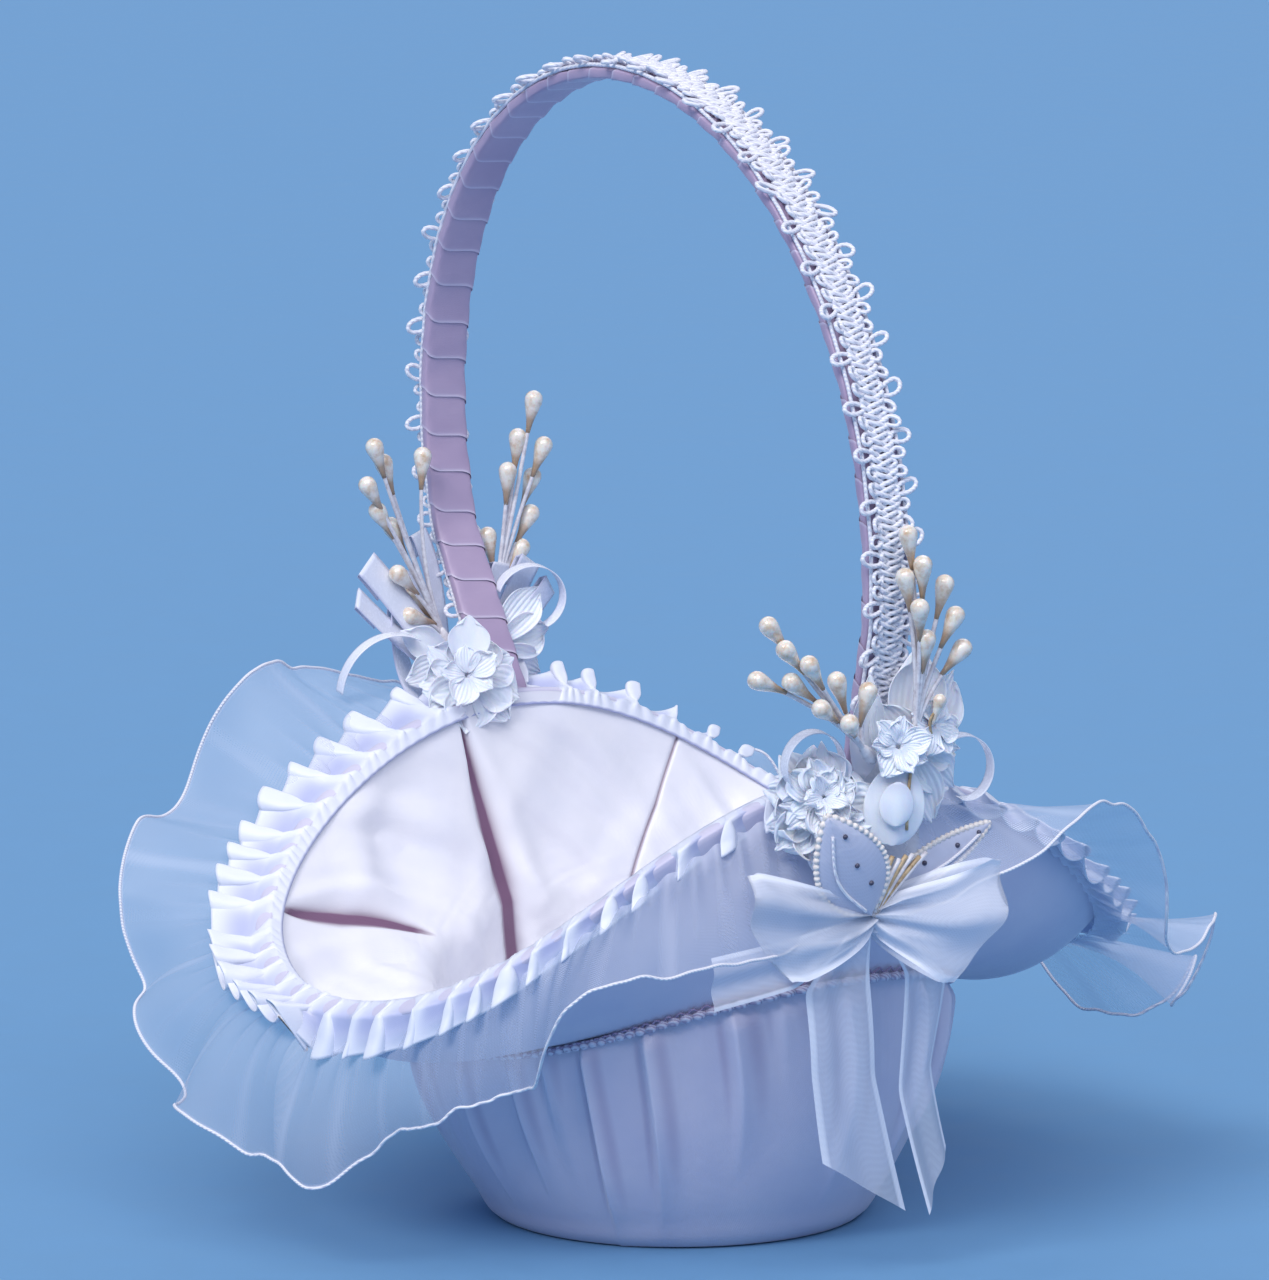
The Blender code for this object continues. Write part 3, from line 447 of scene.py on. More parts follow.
# ---------------------------------------------------------------- shape of bowl and brim
def rim(t):
    """The rim, where the brim ends, at angles t."""
    x = RIM_X[0] * np.cos(t) + RIM_X[1] * np.cos(3 * t)
    y = RIM_Y[0] * np.sin(t) + RIM_Y[1] * np.sin(3 * t)
    return x, y, RIM_Z[0] + RIM_Z[1] * np.cos(2 * t) + RIM_Z[2] * np.cos(4 * t)


def bowl_radius(z):
    """Outside radius of the bowl at a height."""
    return BASE_RADIUS + BOWL_SWELL * np.sin(PI / 2 * np.clip(z / BOWL_HEIGHT, 0, 1) ** 0.75)


def profile(t, s):
    """Radius, height and direction of the satin's outside: s is 0-1 up the bowl, 1-2 up the brim."""
    x, y, z = rim(t)
    turn = np.arctan2(y, x)
    seam = SEAM_Z[0] + SEAM_Z[1] * np.cos(turn) + SEAM_Z[2] * np.cos(2 * turn)
    low = np.clip(s, 0, 1) * seam
    q = np.maximum(s - 1, 0)
    at_seam = bowl_radius(seam)
    out, up = np.hypot(x, y) - at_seam, z - seam
    bulge = (BRIM_BULGE + WING_BULGE * np.cos(turn) ** 2) * 4 * q * (1 - q) / np.hypot(out, up)
    r = np.where(s <= 1, bowl_radius(low), at_seam + out * q + up * bulge)
    h = np.where(s <= 1, low, seam + up * q - out * bulge)
    return r, h, turn


def upright(r, h, turn):
    """Points at a radius and height in the upright plane at each angle."""
    return np.stack(np.broadcast_arrays(r * np.cos(turn), r * np.sin(turn), h), -1)


def skin(t, s, depth):
    """Points a depth outside (positive) or inside the satin's outside."""
    r, h, turn = profile(t, s)
    r1, h1, _ = profile(t, s + 0.01)
    r0, h0, _ = profile(t, s - 0.01)
    dr, dh = r1 - r0, h1 - h0
    size = np.hypot(dr, dh)
    return upright(r + dh / size * depth, h - dr / size * depth, turn)


# ---------------------------------------------------------------- bowl outside
# Gathers: degrees round the seam, how near the floor each runs (0 to 1), height in mm, drift in degrees.
GATHERS = [(2, 0.3, 2.6, 5), (21, 0.1, 3.1, 7), (37, 0.35, 2.2, 4), (55, 0.15, 3.0, 8), (76, 0.2, 2.7, 5),
           (93, 0.4, 2.3, 6), (112, 0.05, 3.2, 7), (128, 0.3, 2.4, 5), (147, 0.2, 2.9, 6),
           (163, 0.35, 2.3, 4), (181, 0.15, 3.0, 8), (199, 0.25, 2.8, 7), (209, 0.55, 1.8, 3),
           (221, 0.0, 3.4, 8), (237, 0.1, 3.3, 6), (254, 0.35, 3.0, 5), (262, 0.65, 1.8, 2),
           (272, 0.15, 2.8, 6), (290, 0.2, 3.0, 5), (309, 0.3, 2.5, 6), (325, 0.1, 3.1, 7),
           (343, 0.3, 2.6, 5)]


def bowl_satin():
    """Satin gathered under the seam: sharp creases at the top that run out towards the floor, with painted
    shade beside each crease and a painted highlight along each crest.
    """
    t = np.linspace(0, 2 * PI, 1500, endpoint=False)[None]
    s = np.concatenate([np.linspace(0.0, 0.1, 5), np.linspace(0.13, 1.0, 44)])[:, None]
    r, _, _ = profile(t, s)
    relief = 0.7 * MM * ripple(t + 0.1 * s, 3, 19) * smooth(0.1, 0.8, s) + 0.4 * MM * smooth(0.3, 1.0, s)
    tint = np.full_like(relief, SATIN_PAINTED_SHADE_SHARE)
    crest_highlight = np.zeros_like(relief)
    for degrees, end, height, lean in GATHERS:
        bow_out = math.radians(1.6) * np.sin(PI * s)
        line = math.radians(degrees) + math.radians(0.6 * lean) * (1 - s) ** 1.3 + bow_out
        away = (np.mod(t - line + PI, 2 * PI) - PI) * r
        grow = smooth(end - 0.1, end + 0.5, s) * mix(0.25, 1.0, smooth(1.0, 0.90, s))
        lee = np.exp(-np.abs(away / (5.5 * MM)) ** 1.2)
        bank = np.where(away < 0, hump(away, 0, 1.7 * MM), lee)
        relief = relief + 1.3 * height * MM * grow * bank
        # Painted shade on both sides of each gather's crest.
        tint = np.maximum(tint, 0.42 * grow * hump(away, -3.2 * MM, 1.4 * MM))
        tint = np.maximum(tint, 0.40 * grow * hump(away, 4.2 * MM, 2.6 * MM))
        # Painted highlight: each crest loses the satin's even share of painted shade.
        crest_highlight = np.maximum(crest_highlight, grow * hump(away, -0.5 * MM, 1.1 * MM))
    made = Shape()
    sunk = np.maximum(relief - 1.2 * MM * smooth(0.0, 0.12, s), -1.15 * MM)
    made.grid(skin(t, s, sunk), tint * (1 - crest_highlight), wrap_u=True)
    radius = np.array([53.9, 53.4, 52.6, 51.5])[:, None] * MM
    height = np.array([0.5, 0.22, 0.12, 0.10])[:, None] * MM
    made.grid(upright(radius, height, t), SATIN_PAINTED_SHADE_SHARE, wrap_u=True)
    made.make("bowl_satin", SATIN, "satin", ["outer_cover"])


def base_satin():
    """The smooth satin disc under the bowl."""
    t = np.linspace(0, 2 * PI, 180, endpoint=False)[None]
    r = np.linspace(0, 1, 26)[:, None]
    z = 0.25 * MM + 0.18 * MM * ripple(t, 9, 31) * r ** 3
    made = Shape()
    made.grid(upright(52.4 * MM * r, z, t), SATIN_PAINTED_SHADE_SHARE, wrap_u=True)
    made.make("base_satin", SATIN, "satin", ["bottom_cover"])


def brim_satin():
    """Smooth satin on the brim's underside, carried over the rim's edge."""
    t = np.linspace(0, 2 * PI, 900, endpoint=False)[None]
    s = np.linspace(1.0, 2.0, 40)[:, None]
    soft = 0.35 * MM * ripple(t, 12, 9) * np.sin(PI * (s - 1)) - 0.25 * MM
    a = np.linspace(0, PI, 9)[1:, None]
    made = Shape()
    made.grid(np.vstack([skin(t, s, soft),
                         skin(t, 2 + 0.018 * np.sin(a), (-3.2 + 2.9 * np.cos(a)) * MM)]),
              SATIN_PAINTED_SHADE_SHARE, wrap_u=True)
    made.make("brim_satin", SATIN, "satin", ["brim_cover"])


def seam_trim():
    """Small puffed trim along the seam, with a mauve thread above it."""
    steps = 150 * 12
    t = np.linspace(0, 2 * PI, steps, endpoint=False)
    puff = np.abs(np.sin(75 * t))
    made = Shape()
    # Painted shade between the puffs.
    made.tube(skin(t, np.full(steps, 1.0), 1.0 * MM + 0.6 * MM * puff),
              (0.80 + 0.55 * puff) * MM, 8, closed=True, tint=0.8 * (1 - puff))
    made.make("seam_trim", TRIM, "braid", ["seam_gimp"])
    zig = Shape()
    zig.tube(skin(t, 1.035 + 0.012 * np.cos(150 * t), 0.75 * MM), 0.3 * MM, 6, closed=True)
    zig.make("seam_thread", THREAD, "braid")


# ---------------------------------------------------------------- lining
# Each dart: angle in degrees at s = 0.1, 1.0, 1.5 and 2.0, how open it is in mm, and its kind.
DARTS = [((60, 58, 45, 33), 2.4, "lens"), ((76, 74.5, 68.5, 64), 0.6, "seam"),
         ((93, 96.5, 98, 100), 2.9, "fold"), ((104, 119, 134, 147), 3.0, "lens"),
         ((256, 241, 226, 213), 2.4, "lens"), ((267, 263.5, 262, 260), 2.6, "fold"),
         ((284, 285.5, 291.5, 296), 0.6, "seam"), ((300, 302, 315, 327), 2.4, "lens")]


def dart_line(angles, s):
    """A dart's angle at each s, in radians."""
    return np.radians(np.interp(s, (0.1, 1.0, 1.5, 2.0), angles))


def dart_open(kind, width, s):
    """How wide a dart gapes at each s, and how deep it goes, in metres."""
    if kind == "fold":
        gape = mix(0.45, width, smooth(1.98, 1.15, s)) * smooth(0.25, 0.7, s)
        return np.maximum(gape, 0.3) * MM, 3.4 * MM * smooth(0.2, 0.7, s)
    if kind == "lens":
        swell = np.sin(PI * np.clip((s - 1.02) / 0.94, 0, 1)) ** 0.7
        return (0.3 + width * swell) * MM, 3.2 * MM * swell
    return np.full_like(s, width) * MM, 0.9 * MM * smooth(0.7, 1.1, s)


def lining():
    """One satin cup with eight darts, puffed over its padding, and a padded floor."""
    s = np.concatenate([np.linspace(2.0, 1.0, 70), np.linspace(0.985, 0.13, 40)])[:, None]
    u = 0.5 - 0.5 * np.cos(PI * np.linspace(0, 1, 84, endpoint=False))[None]
    all_t, all_relief, all_tint = [], [], []
    for i, (angles, width, kind) in enumerate(DARTS):
        after_angles, after_width, after_kind = DARTS[(i + 1) % len(DARTS)]
        here = dart_line(angles, s)
        there = dart_line(after_angles, s) + (2 * PI if i == len(DARTS) - 1 else 0)
        t = mix(here, there, u)
        r, _, _ = profile(t, s)
        relief = 1.3 * MM * np.sin(PI * u) ** 0.6 * smooth(0.1, 0.9, s) * smooth(2.02, 1.8, s)
        tint = np.zeros_like(relief)
        for away, form, wide, sign in ((t - here, kind, width, 1.0),
                                       (there - t, after_kind, after_width, -1.0)):
            gape, deep = dart_open(form, wide, s)
            d = away * r * (0.72 if form == "lens" else 1.0)
            lip = 0.45 * hump(d, 2.2 * gape, 3.5 * MM) * (0.6 - 0.4 * sign)
            relief = relief + deep * (lip - hump(d, 0, gape))
            # Painted shade: each dart's gap is darkened towards the dark mauve colour.
            dark = np.clip(1.7 * hump(d, 0, 0.60 * gape), 0, 1)
            tint = np.maximum(tint, dark * np.clip(deep / (1.5 * MM), 0, 1))
        all_t.append(t)
        all_relief.append(relief)
        all_tint.append(tint)
    t, relief, tint = np.hstack(all_t), np.hstack(all_relief), np.hstack(all_tint)
    billow = (2.2 * ripple(t + 0.25 * s, 21, 9) + 1.5 * ripple(t - 0.6 * s, 22, 19)) * MM
    free = np.tile(np.sin(PI * u) ** 0.7, (1, len(DARTS)))
    relief = relief + billow * free * smooth(0.3, 1.0, s) * smooth(2.02, 1.7, s)
    pull = np.clip(np.sin(11 * t + 5.5 * s + 1.3 * ripple(t, 24, 5)), 0, 1) ** 3 * smooth(1.75, 1.35, s)
    relief = relief + 1.3 * MM * pull * free * smooth(0.7, 1.1, s)
    relief = relief + 0.35 * MM * ripple(2 * t + 3 * s, 23, 26) * smooth(1.3, 0.6, s)
    wall = skin(t, s, -(6.0 * MM + np.maximum(relief, -1.5 * MM)))
    share = np.concatenate([[0.985], np.linspace(1, 0, 26)[1:]])[:, None]
    ground = FLOOR_Z + 2.0 * MM * (1 - share ** 2) ** 1.5
    ground[0] = FLOOR_Z + 0.6 * MM
    foot_x, foot_y, _ = wall[-1].T
    floor_rows = np.stack(np.broadcast_arrays(foot_x * share, foot_y * share, ground), -1)
    made = Shape()
    made.grid(np.concatenate([wall, floor_rows]),
              np.vstack([tint, np.zeros((len(share), tint.shape[1]))]), wrap_u=True)
    made.make("lining_satin", LINING, "lining_satin", ["lining", "wall_padding", "base_padding"])


# ---------------------------------------------------------------- ruffles
PLEATS = 66
PLEAT_TWIST = 0.36


def pressed(x, y, sign, inner, outer):
    """How far the cluster at one foot presses the ruffles: 1 on its -X side, falling to 0 on its +X side."""
    share = (1 - smooth(*outer, x)) * (1 - smooth(*inner, x))
    return np.where(sign * y > 0, share, 0.0)


def ruffle_slope(t):
    """How steeply the satin ruffle leaves the rim, in radians."""
    degrees = np.degrees(np.mod(t, 2 * PI))
    x, y, _ = rim(t)
    free = -5 + 42 * np.sin(t) + 10 * np.cos(t) - 25 * hump(degrees, 212, 25)
    free = free - 36 * hump(degrees, 48, 29) + 36 * hump(degrees, 246, 19)
    free = mix(free, -80.0, pressed(x, y, -1, (-0.037, 0.040), (-0.056, 0.060)))
    return np.radians(mix(free, 5.0, pressed(x, y, 1, (-0.028, 0.026), (-0.050, 0.046))))


def rim_frame(t, below):
    """The rim in its upright plane: edge point, ways up the brim and out of it, and the plane's angle."""
    r2, h2, turn = profile(t, np.full_like(t, 2.0))
    r1, h1, _ = profile(t, np.full_like(t, below))
    up = np.stack([r2 - r1, h2 - h1], -1)
    up /= np.linalg.norm(up, axis=-1, keepdims=True)
    return np.stack([r2, h2], -1), up, np.stack([up[..., 1], -up[..., 0]], -1), turn


def beside_foot(t):
    """1 where a handle foot stands outside the rim, 0 away from it."""
    return 1 - smooth(8.4 * MM, 17 * MM, np.abs(rim(t)[0]))


def sloped(angle):
    """A direction in the upright plane at an angle above level."""
    return np.stack([np.cos(angle), np.sin(angle)], -1)


def satin_ruffle():
    """Heading over the rim, then knife pleats that open towards the free edge."""
    cols = PLEATS * 28
    t0 = np.linspace(0, 2 * PI, cols, endpoint=False)[None]
    turns = PLEATS * t0 + 1.8 * ripple(t0, 31, 9)
    across = np.concatenate([np.linspace(0, 0.30, 6), np.linspace(0.36, 1.0, 17)])[:, None]
    open_out = smooth(0.08, 0.80, across)
    size = 1 + 0.36 * ripple(t0, 32, 21)
    t = t0 - PLEAT_TWIST * open_out * 2 * PI / PLEATS * np.sin(turns + 0.55) * size
    edge, up, out, turn = rim_frame(t, 1.96)
    step = beside_foot(t)
    at_foot = np.where(rim(t)[1] < 0, 4.6 * MM, 6.4 * MM)
    inner = edge - up * 3.6 * MM - out * (7.4 * MM)
    lip = edge + up * 0.9 * MM - out * mix(6.0 * MM, -at_foot, step)[..., None]
    over = edge + up * 1.5 * MM + out * mix(0.6 * MM, at_foot + 0.5 * MM, step)[..., None]
    slope = ruffle_slope(t)
    shorter = 4.2 * smooth(0.0, -0.9, np.sin(t))
    shorter = shorter + 4.6 * smooth(0.6, 0.9, np.sin(t)) * smooth(-0.05, 0.25, np.cos(t))
    length = (12.0 - shorter) * MM * (1 + 0.10 * np.cos(turns)) * (0.9 + 0.1 * size)
    free = over + sloped(slope) * length[..., None]
    a = (across / 0.30)[..., None]
    b = ((across - 0.30) / 0.22)[..., None]
    c = ((across - 0.52) / 0.48)[..., None]
    line = np.where(b <= 1, mix(lip, over, b), mix(over, free, c))
    line = np.where(a <= 1, mix(inner, lip, a), line)
    deep = (2.1 + 1.3 * hump(np.degrees(t0), 243, 20)) * MM
    wave = (np.cos(turns) - 0.25 * np.cos(2 * turns)) * deep * open_out * size
    pucker = 0.45 * MM * np.cos(3 * turns + 2 * across) * hump(across, 0.26, 0.18)
    curl = 1.2 * MM * np.cos(turns) * smooth(0.75, 1.0, across)
    line = line + sloped(slope + PI / 2) * (wave + pucker + curl)[..., None]
    # Painted shade in the valleys between pleats, and a painted shadow line along the heading's inner edge.
    tint = 0.85 * open_out * smooth(-0.25, -1.0, np.cos(turns + 0.5)) * smooth(1.05, 0.5, across)
    tint = np.maximum(tint, 0.8 * hump(across, 0, 0.03))
    made = Shape()
    made.grid(upright(line[..., 0], line[..., 1], turn), tint, wrap_u=True)
    made.make("satin_ruffle_folds", RUFFLE, "satin", ["satin_ruffle"], thickness=0.35 * MM)


# Folds of the sheer ruffle: (place on the rim, how far it turns up), degrees.
FOLDS = [(8, -50), (23, -20), (31, -30), (38, -5), (46, -30), (54, -5), (62, -30), (70, -5), (78, -25),
         (90, -5), (103, 15), (116, 35), (127, -5), (133, 5), (144, -20), (149, -40), (156, -40),
         (161, -62), (168, -50), (176, -68), (187, -76), (194, -88), (206, -85), (222, -80), (231, -30),
         (236, -25), (250, -45), (266, -70), (279, -35), (291, 5), (303, 0), (317, -40), (333, 0),
         (346, -40), (351, -15), (357, -35)]


def sheer_width(degrees):
    """From the rim to the free edge: widest at -X, narrowest between +X and the front foot."""
    wide = 40 + 6 * near(degrees, 150, 38) + 5 * near(degrees, 245, 20) + 7 * near(degrees, 355, 8)
    wide = wide + 7 * near(degrees, 187, 5) - 5 * near(degrees, 197, 6) - 4 * near(degrees, 60, 45)
    return (wide - 8 * near(degrees, 211, 13) - 10 * near(degrees, 312, 22)) * MM


def sheer_drift(degrees):
    """How far the free edge stands ahead of its root round the rim, in degrees."""
    left = 9.5 * near(degrees, 152, 13) + 4.5 * near(degrees, 125, 6)
    return 3 * near(degrees, 90, 9) - left - 7 * near(degrees, 4, 13)


def sheer_ruffle():
    """Wide sheer ruffle with deep uneven waves, and a bright cord in its free edge."""
    t0 = np.linspace(0, 2 * PI, 1560, endpoint=False)
    degrees = np.degrees(t0)
    tilt = np.radians(round_trip(FOLDS, degrees)[:, 0])[None]
    reach = sheer_width(degrees)[None]
    w = np.linspace(0, 1, 28)[:, None]
    gather = np.sin(110 * t0 + 2 * ripple(t0, 41, 9))
    t = t0[None] + np.radians(sheer_drift(degrees))[None] * smooth(0.0, 1.0, w)
    edge, up, out, turn = rim_frame(t, 1.94)
    root = edge - up * 3.4 * MM + out * mix(1.6 * MM, 7.0 * MM, beside_foot(t))[..., None]
    lift = math.radians(34) * near(np.degrees(t), 36, 24)
    slope = np.minimum(ruffle_slope(t), math.radians(45)) - math.radians(9) + lift
    reach_way = reach[..., None]
    p1 = root + sloped(np.maximum(slope, tilt + 0.25)) * reach_way * 0.42
    p3 = edge + sloped(tilt) * reach_way
    p2 = mix(root, p3, 0.72) + np.array((0.25, -0.10)) * reach_way * 0.35
    v = w[..., None]
    line = root * (1 - v) ** 3 + 3 * p1 * v * (1 - v) ** 2 + 3 * p2 * v ** 2 * (1 - v) + p3 * v ** 3
    line[..., 1] += 1.1 * MM * gather * hump(w, 0.16, 0.20)
    line[..., 1] += 0.9 * MM * ripple(t0, 43, 38) * smooth(0.2, 0.9, w)
    bright = 0.30 * hump(w, 0, 0.10) + 0.16 * np.clip(gather, 0, 1) ** 3 * np.exp(-w / 0.3)
    bright = bright + 0.20 * np.clip(ripple(t0, 44, 47), 0, 1) ** 2 * smooth(0.05, 0.5, w)
    bright = bright + 0.17 * near(degrees, 322, 34) + 0.75 * smooth(0.972, 0.985, w)
    points = upright(line[..., 0], line[..., 1], turn)
    made = Shape()
    made.grid(points, np.clip(bright, 0, 1), wrap_u=True)
    made.make("organza_ruffle_sheer", ORGANZA, "organza", ["organza_ruffle"])
    cord = Shape()
    cord.tube(points[-1], 0.48 * MM, 6, closed=True)
    cord.make("organza_edge_cord", EDGE, "edge_wire", ["ruffle_edge_wire"])


# ---------------------------------------------------------------- handle
def foot_y(z):
    """Outside of the brim at the handle feet, carried on above the rim."""
    s = np.linspace(1, 2, 5)
    r, h, _ = profile(np.full(5, PI / 2), s)
    slope = (r[-1] - r[-2]) / (h[-1] - h[-2])
    return np.where(z <= h[-1], np.interp(z, h, r), r[-1] + slope * (z - h[-1]))


def half_arch(side):
    """Centre line of the band from the top to one foot, as rows of (y, z)."""
    phi = np.linspace(0, 2.46, 15)
    radius = sum(term * phi ** (2 * k) for k, term in enumerate(ARCH_RADIUS))
    z = ARCH_CENTRE_Z + radius * np.cos(phi)
    y = side * radius * np.sin(phi) + ARCH_LEAN * (z - ARCH_LEAN_Z)
    y = mix(y, side * (foot_y(z) + FOOT_OFFSET), 1 - smooth(*FOOT_BLEND_Z, z))
    low = mix(z[-1], FOOT_END_Z, np.array([0.3, 0.65, 1.0]))
    return np.vstack([np.stack([y, z], -1),
                      np.stack([side * (foot_y(low) + FOOT_OFFSET), low], -1)])


def band():
    """Evenly spaced centre line of the whole band, its outward normals and its running length."""
    line = np.vstack([half_arch(1)[::-1], half_arch(-1)[1:]])
    run = np.concatenate([[0], np.cumsum(np.linalg.norm(np.diff(line, axis=0), axis=1))])
    even = np.linspace(0, run[-1], 1500)
    line = np.stack([np.interp(even, run, line[:, 0]), np.interp(even, run, line[:, 1])], -1)
    for _ in range(60):
        line[1:-1] = (line[:-2] + 2 * line[1:-1] + line[2:]) / 4
    ahead = np.gradient(line, axis=0)
    ahead /= np.linalg.norm(ahead, axis=1, keepdims=True)
    out = np.stack([ahead[:, 1], -ahead[:, 0]], -1)
    return line, out * np.sign(out[len(out) // 2, 1]), even


BAND_LINE, BAND_OUT, BAND_RUN = band()
WRAP_PITCH = 11.6 * MM


def on_band(run, x, out):
    """Points at a running length along the band, across it and out from its centre line."""
    y = np.interp(run, BAND_RUN, BAND_LINE[:, 0]) + np.interp(run, BAND_RUN, BAND_OUT[:, 0]) * out
    z = np.interp(run, BAND_RUN, BAND_LINE[:, 1]) + np.interp(run, BAND_RUN, BAND_OUT[:, 1]) * out
    return np.stack(np.broadcast_arrays(x, y, z), -1)


def flattened(wave, half):
    """A rounded box's side: a sine or cosine squared up, of a half width."""
    return np.sign(wave) * np.abs(wave) ** 0.35 * half


def handle_ribbon():
    """Satin ribbon wound round the strip, each turn lapping over the last, and bound at both ends."""
    turns = int((BAND_RUN[-1] - 22 * MM) / WRAP_PITCH)
    a = np.linspace(0, 2 * PI * turns, 36 * turns + 1)[:, None]
    v = np.array([0, 0.03, 0.08, 0.2, 0.4, 0.6, 0.8, 0.92, 1.0])[None]
    run = 4 * MM + WRAP_PITCH * (a / (2 * PI) + 1.10 * v) + 0.35 * MM * np.sin(a * 0.37)
    swell = (0.34 * (1 - v) ** 1.4 - 0.10 * v ** 4) * MM + 0.08 * MM * np.sin(5 * a + 9 * v)
    made = Shape()
    # Painted highlight along the lapped edge of each turn.
    made.grid(on_band(run, -flattened(np.cos(a), 7.0 * MM + swell), flattened(np.sin(a), 1.55 * MM + swell)),
              0.55 * hump(v, 0, 0.05))
    loop = np.linspace(0, 2 * PI, 36, endpoint=False)[None]
    along = np.array([0, 0, 0.04, 0.5, 0.96, 1.0])[:, None] * 10 * MM
    grow = np.array([0.02, 0.9, 1.0, 1.03, 1.0, 0.9])[:, None]
    x, out = flattened(np.cos(loop), 7.5 * MM * grow), flattened(np.sin(loop), 2.05 * MM * grow)
    for run in (along, BAND_RUN[-1] - along):
        made.grid(on_band(run, x, out), 0.0, wrap_u=True)
    made.make("handle_ribbon_wrap", WRAP, "wrap_ribbon", ["handle_wrap"])


def braid():
    """Looped braid on the outside of the band: plaited cords, small loops and long picots."""
    draw = random.Random(7)
    made = Shape()
    start, end = BAND_RUN[BAND_LINE[:, 1] > BRAID_END_Z][[0, -1]]
    run = np.arange(start, end, 0.55 * MM)
    base = 2.55 * MM
    for side in (-1, 1):
        made.tube(on_band(run, side * 6.3 * MM + 0 * run, base - 0.1 * MM), 0.62 * MM, 6)
    for k in range(4):
        phase = 2 * PI * (run / (7.2 * MM) + k / 4)
        made.tube(on_band(run, 3.9 * MM * np.sin(phase), base + (0.8 + 0.6 * np.cos(2 * phase + k)) * MM),
                  0.72 * MM, 6)
    a = np.linspace(0, 2 * PI, 14, endpoint=False)
    place = start + 2 * MM
    count = 0
    while place < end - 2 * MM:
        for side in (-1, 1):
            long = (count + (side > 0)) % 3 == 0
            half = draw.uniform(3.3, 4.1) if long else draw.uniform(1.7, 2.3)
            centre = draw.uniform(6.2, 6.8) if long else draw.uniform(4.0, 5.0)
            rise = draw.uniform(0.2, 0.9) if long else draw.uniform(0.3, 1.3)
            wide = draw.uniform(1.5, 2.0) if long else draw.uniform(1.2, 1.6)
            skew = draw.uniform(-0.35, 0.35)
            across = np.cos(a) * half
            along = np.sin(a) * wide * (1 + 0.25 * np.cos(a)) + skew * across
            lift = base + (0.9 + rise * (across / half + 0.6) + 0.25 * np.sin(a)) * MM
            ring = on_band(place + along * MM, side * (centre + across) * MM, lift)
            made.tube(ring, (0.70 if long else 0.64) * MM, 6, closed=True)
        place += draw.uniform(4.3, 5.1) * MM
        count += 1
    made.make("handle_loop_braid", BRAID, "braid", ["handle_braid"])


# ---------------------------------------------------------------- flowers and ribbon
def front(x, z, y):
    """A point of the front cluster in mm. Pieces further out also sit further round to -X."""
    nearer = y - FRONT_Y
    return np.array((x + SIGHT_X * nearer, y, z + SIGHT_Z * nearer)) * MM


def back(x, z, y):
    """A point of the back cluster in mm."""
    nearer = y - BACK_Y
    return np.array((x + SIGHT_X * nearer, y, z + SIGHT_Z * nearer)) * MM


def lie(base, tip, facing):
    """A flat part's base, length, and the ways along it, across it and out of its upper side."""
    base, tip, facing = arrays(base, tip, facing)
    length = np.linalg.norm(tip - base)
    along = (tip - base) / length
    facing = unit(facing - along * facing.dot(along))
    return base, length, along, np.cross(along, facing), facing


def petal(made, base, tip, width, facing, cup=0.15, curl=0.1, frill=0.0, ribs=0.0, blunt=1.35,
          point=0.16, seed=1):
    """Add one petal: a base and tip, its width, frill and ribs in mm, and the way it faces."""
    width, frill, ribs = width * MM, frill * MM, ribs * MM
    base, length, along, side, facing = lie(base, tip, facing)
    v = (1 - (1 - np.linspace(0, 1, 24)) ** 1.5)[:, None]
    u = np.linspace(-1, 1, 45)[None]
    half = width / 2 * (0.10 + 0.90 * np.sin(PI * v ** blunt * 0.985) ** 0.5)
    draw = random.Random(seed)
    phase = draw.uniform(0, 2 * PI)
    reach = v * length * (1 - point * u ** 2 * v + 0.03 * frill / MM * np.sin(7 * u + phase) * v)
    height = cup * width * (u ** 2 - 0.3) * np.sin(PI * v * 0.8) - curl * length * v ** 2.5
    height = height + frill * np.sin(5.5 * u + phase + 2 * v) * v ** 2 * np.abs(u) ** 0.5
    height = height + frill * 0.6 * np.sin(9 * v + phase) * np.abs(u) ** 3
    height = height + 0.7 * ribs * np.cos(8 * PI * u) * smooth(0.1, 0.5, v) * (1 - 0.3 * v)
    points = (base + along * reach[..., None] + side * (u * half)[..., None]
              + facing * height[..., None])
    # Painted shade at the petal's base, where it meets the flower's throat.
    made.grid(points, 0.9 * (1 - smooth(0.0, 0.45, v)))


def whorl(made, centre, facing, radius, count, seed, lift, width, frill, ribs):
    """Add a ring of petals that open round a centre, out to a radius in mm."""
    draw = random.Random(seed)
    facing = unit(np.array(facing))
    side = unit(np.cross(facing, (0.1, 0.0, 1.0)))
    over = np.cross(facing, side)
    for k in range(count):
        a = 2 * PI * (k + draw.uniform(-0.22, 0.22)) / count + seed
        way = side * math.cos(a) + over * math.sin(a)
        reach = radius * draw.uniform(0.85, 1.12)
        rise = lift * draw.uniform(0.7, 1.3)
        tip = centre + (way + facing * rise) * reach * MM
        petal(made, centre + way * radius * 0.08 * MM + facing * draw.uniform(0, 0.6) * MM, tip,
              reach * width * draw.uniform(0.9, 1.15), facing - way * rise, cup=draw.uniform(0.08, 0.2),
              curl=draw.uniform(0.05, 0.22), frill=frill, ribs=ribs, seed=seed * 31 + k)


def flower(name, node, place, facing, petals, whorls=(), thickness=0.25 * MM):
    """Petals and rings of petals as one piece: (seed, base, tip, width, shape) and a whorl's values."""
    made = Shape()
    for seed, base, tip, width, values in petals:
        petal(made, place(*base), place(*tip), width, facing, seed=seed, **values)
    for centre, *values in whorls:
        whorl(made, place(*centre), *values)
    made.make(name, PETAL, "petal", [node], thickness)


def bezier(a, b, c, count):
    """A quadratic curve from a to c, bent towards b."""
    t = np.linspace(0, 1, count)[:, None]
    return a * (1 - t) ** 2 + 2 * b * t * (1 - t) + c * t ** 2


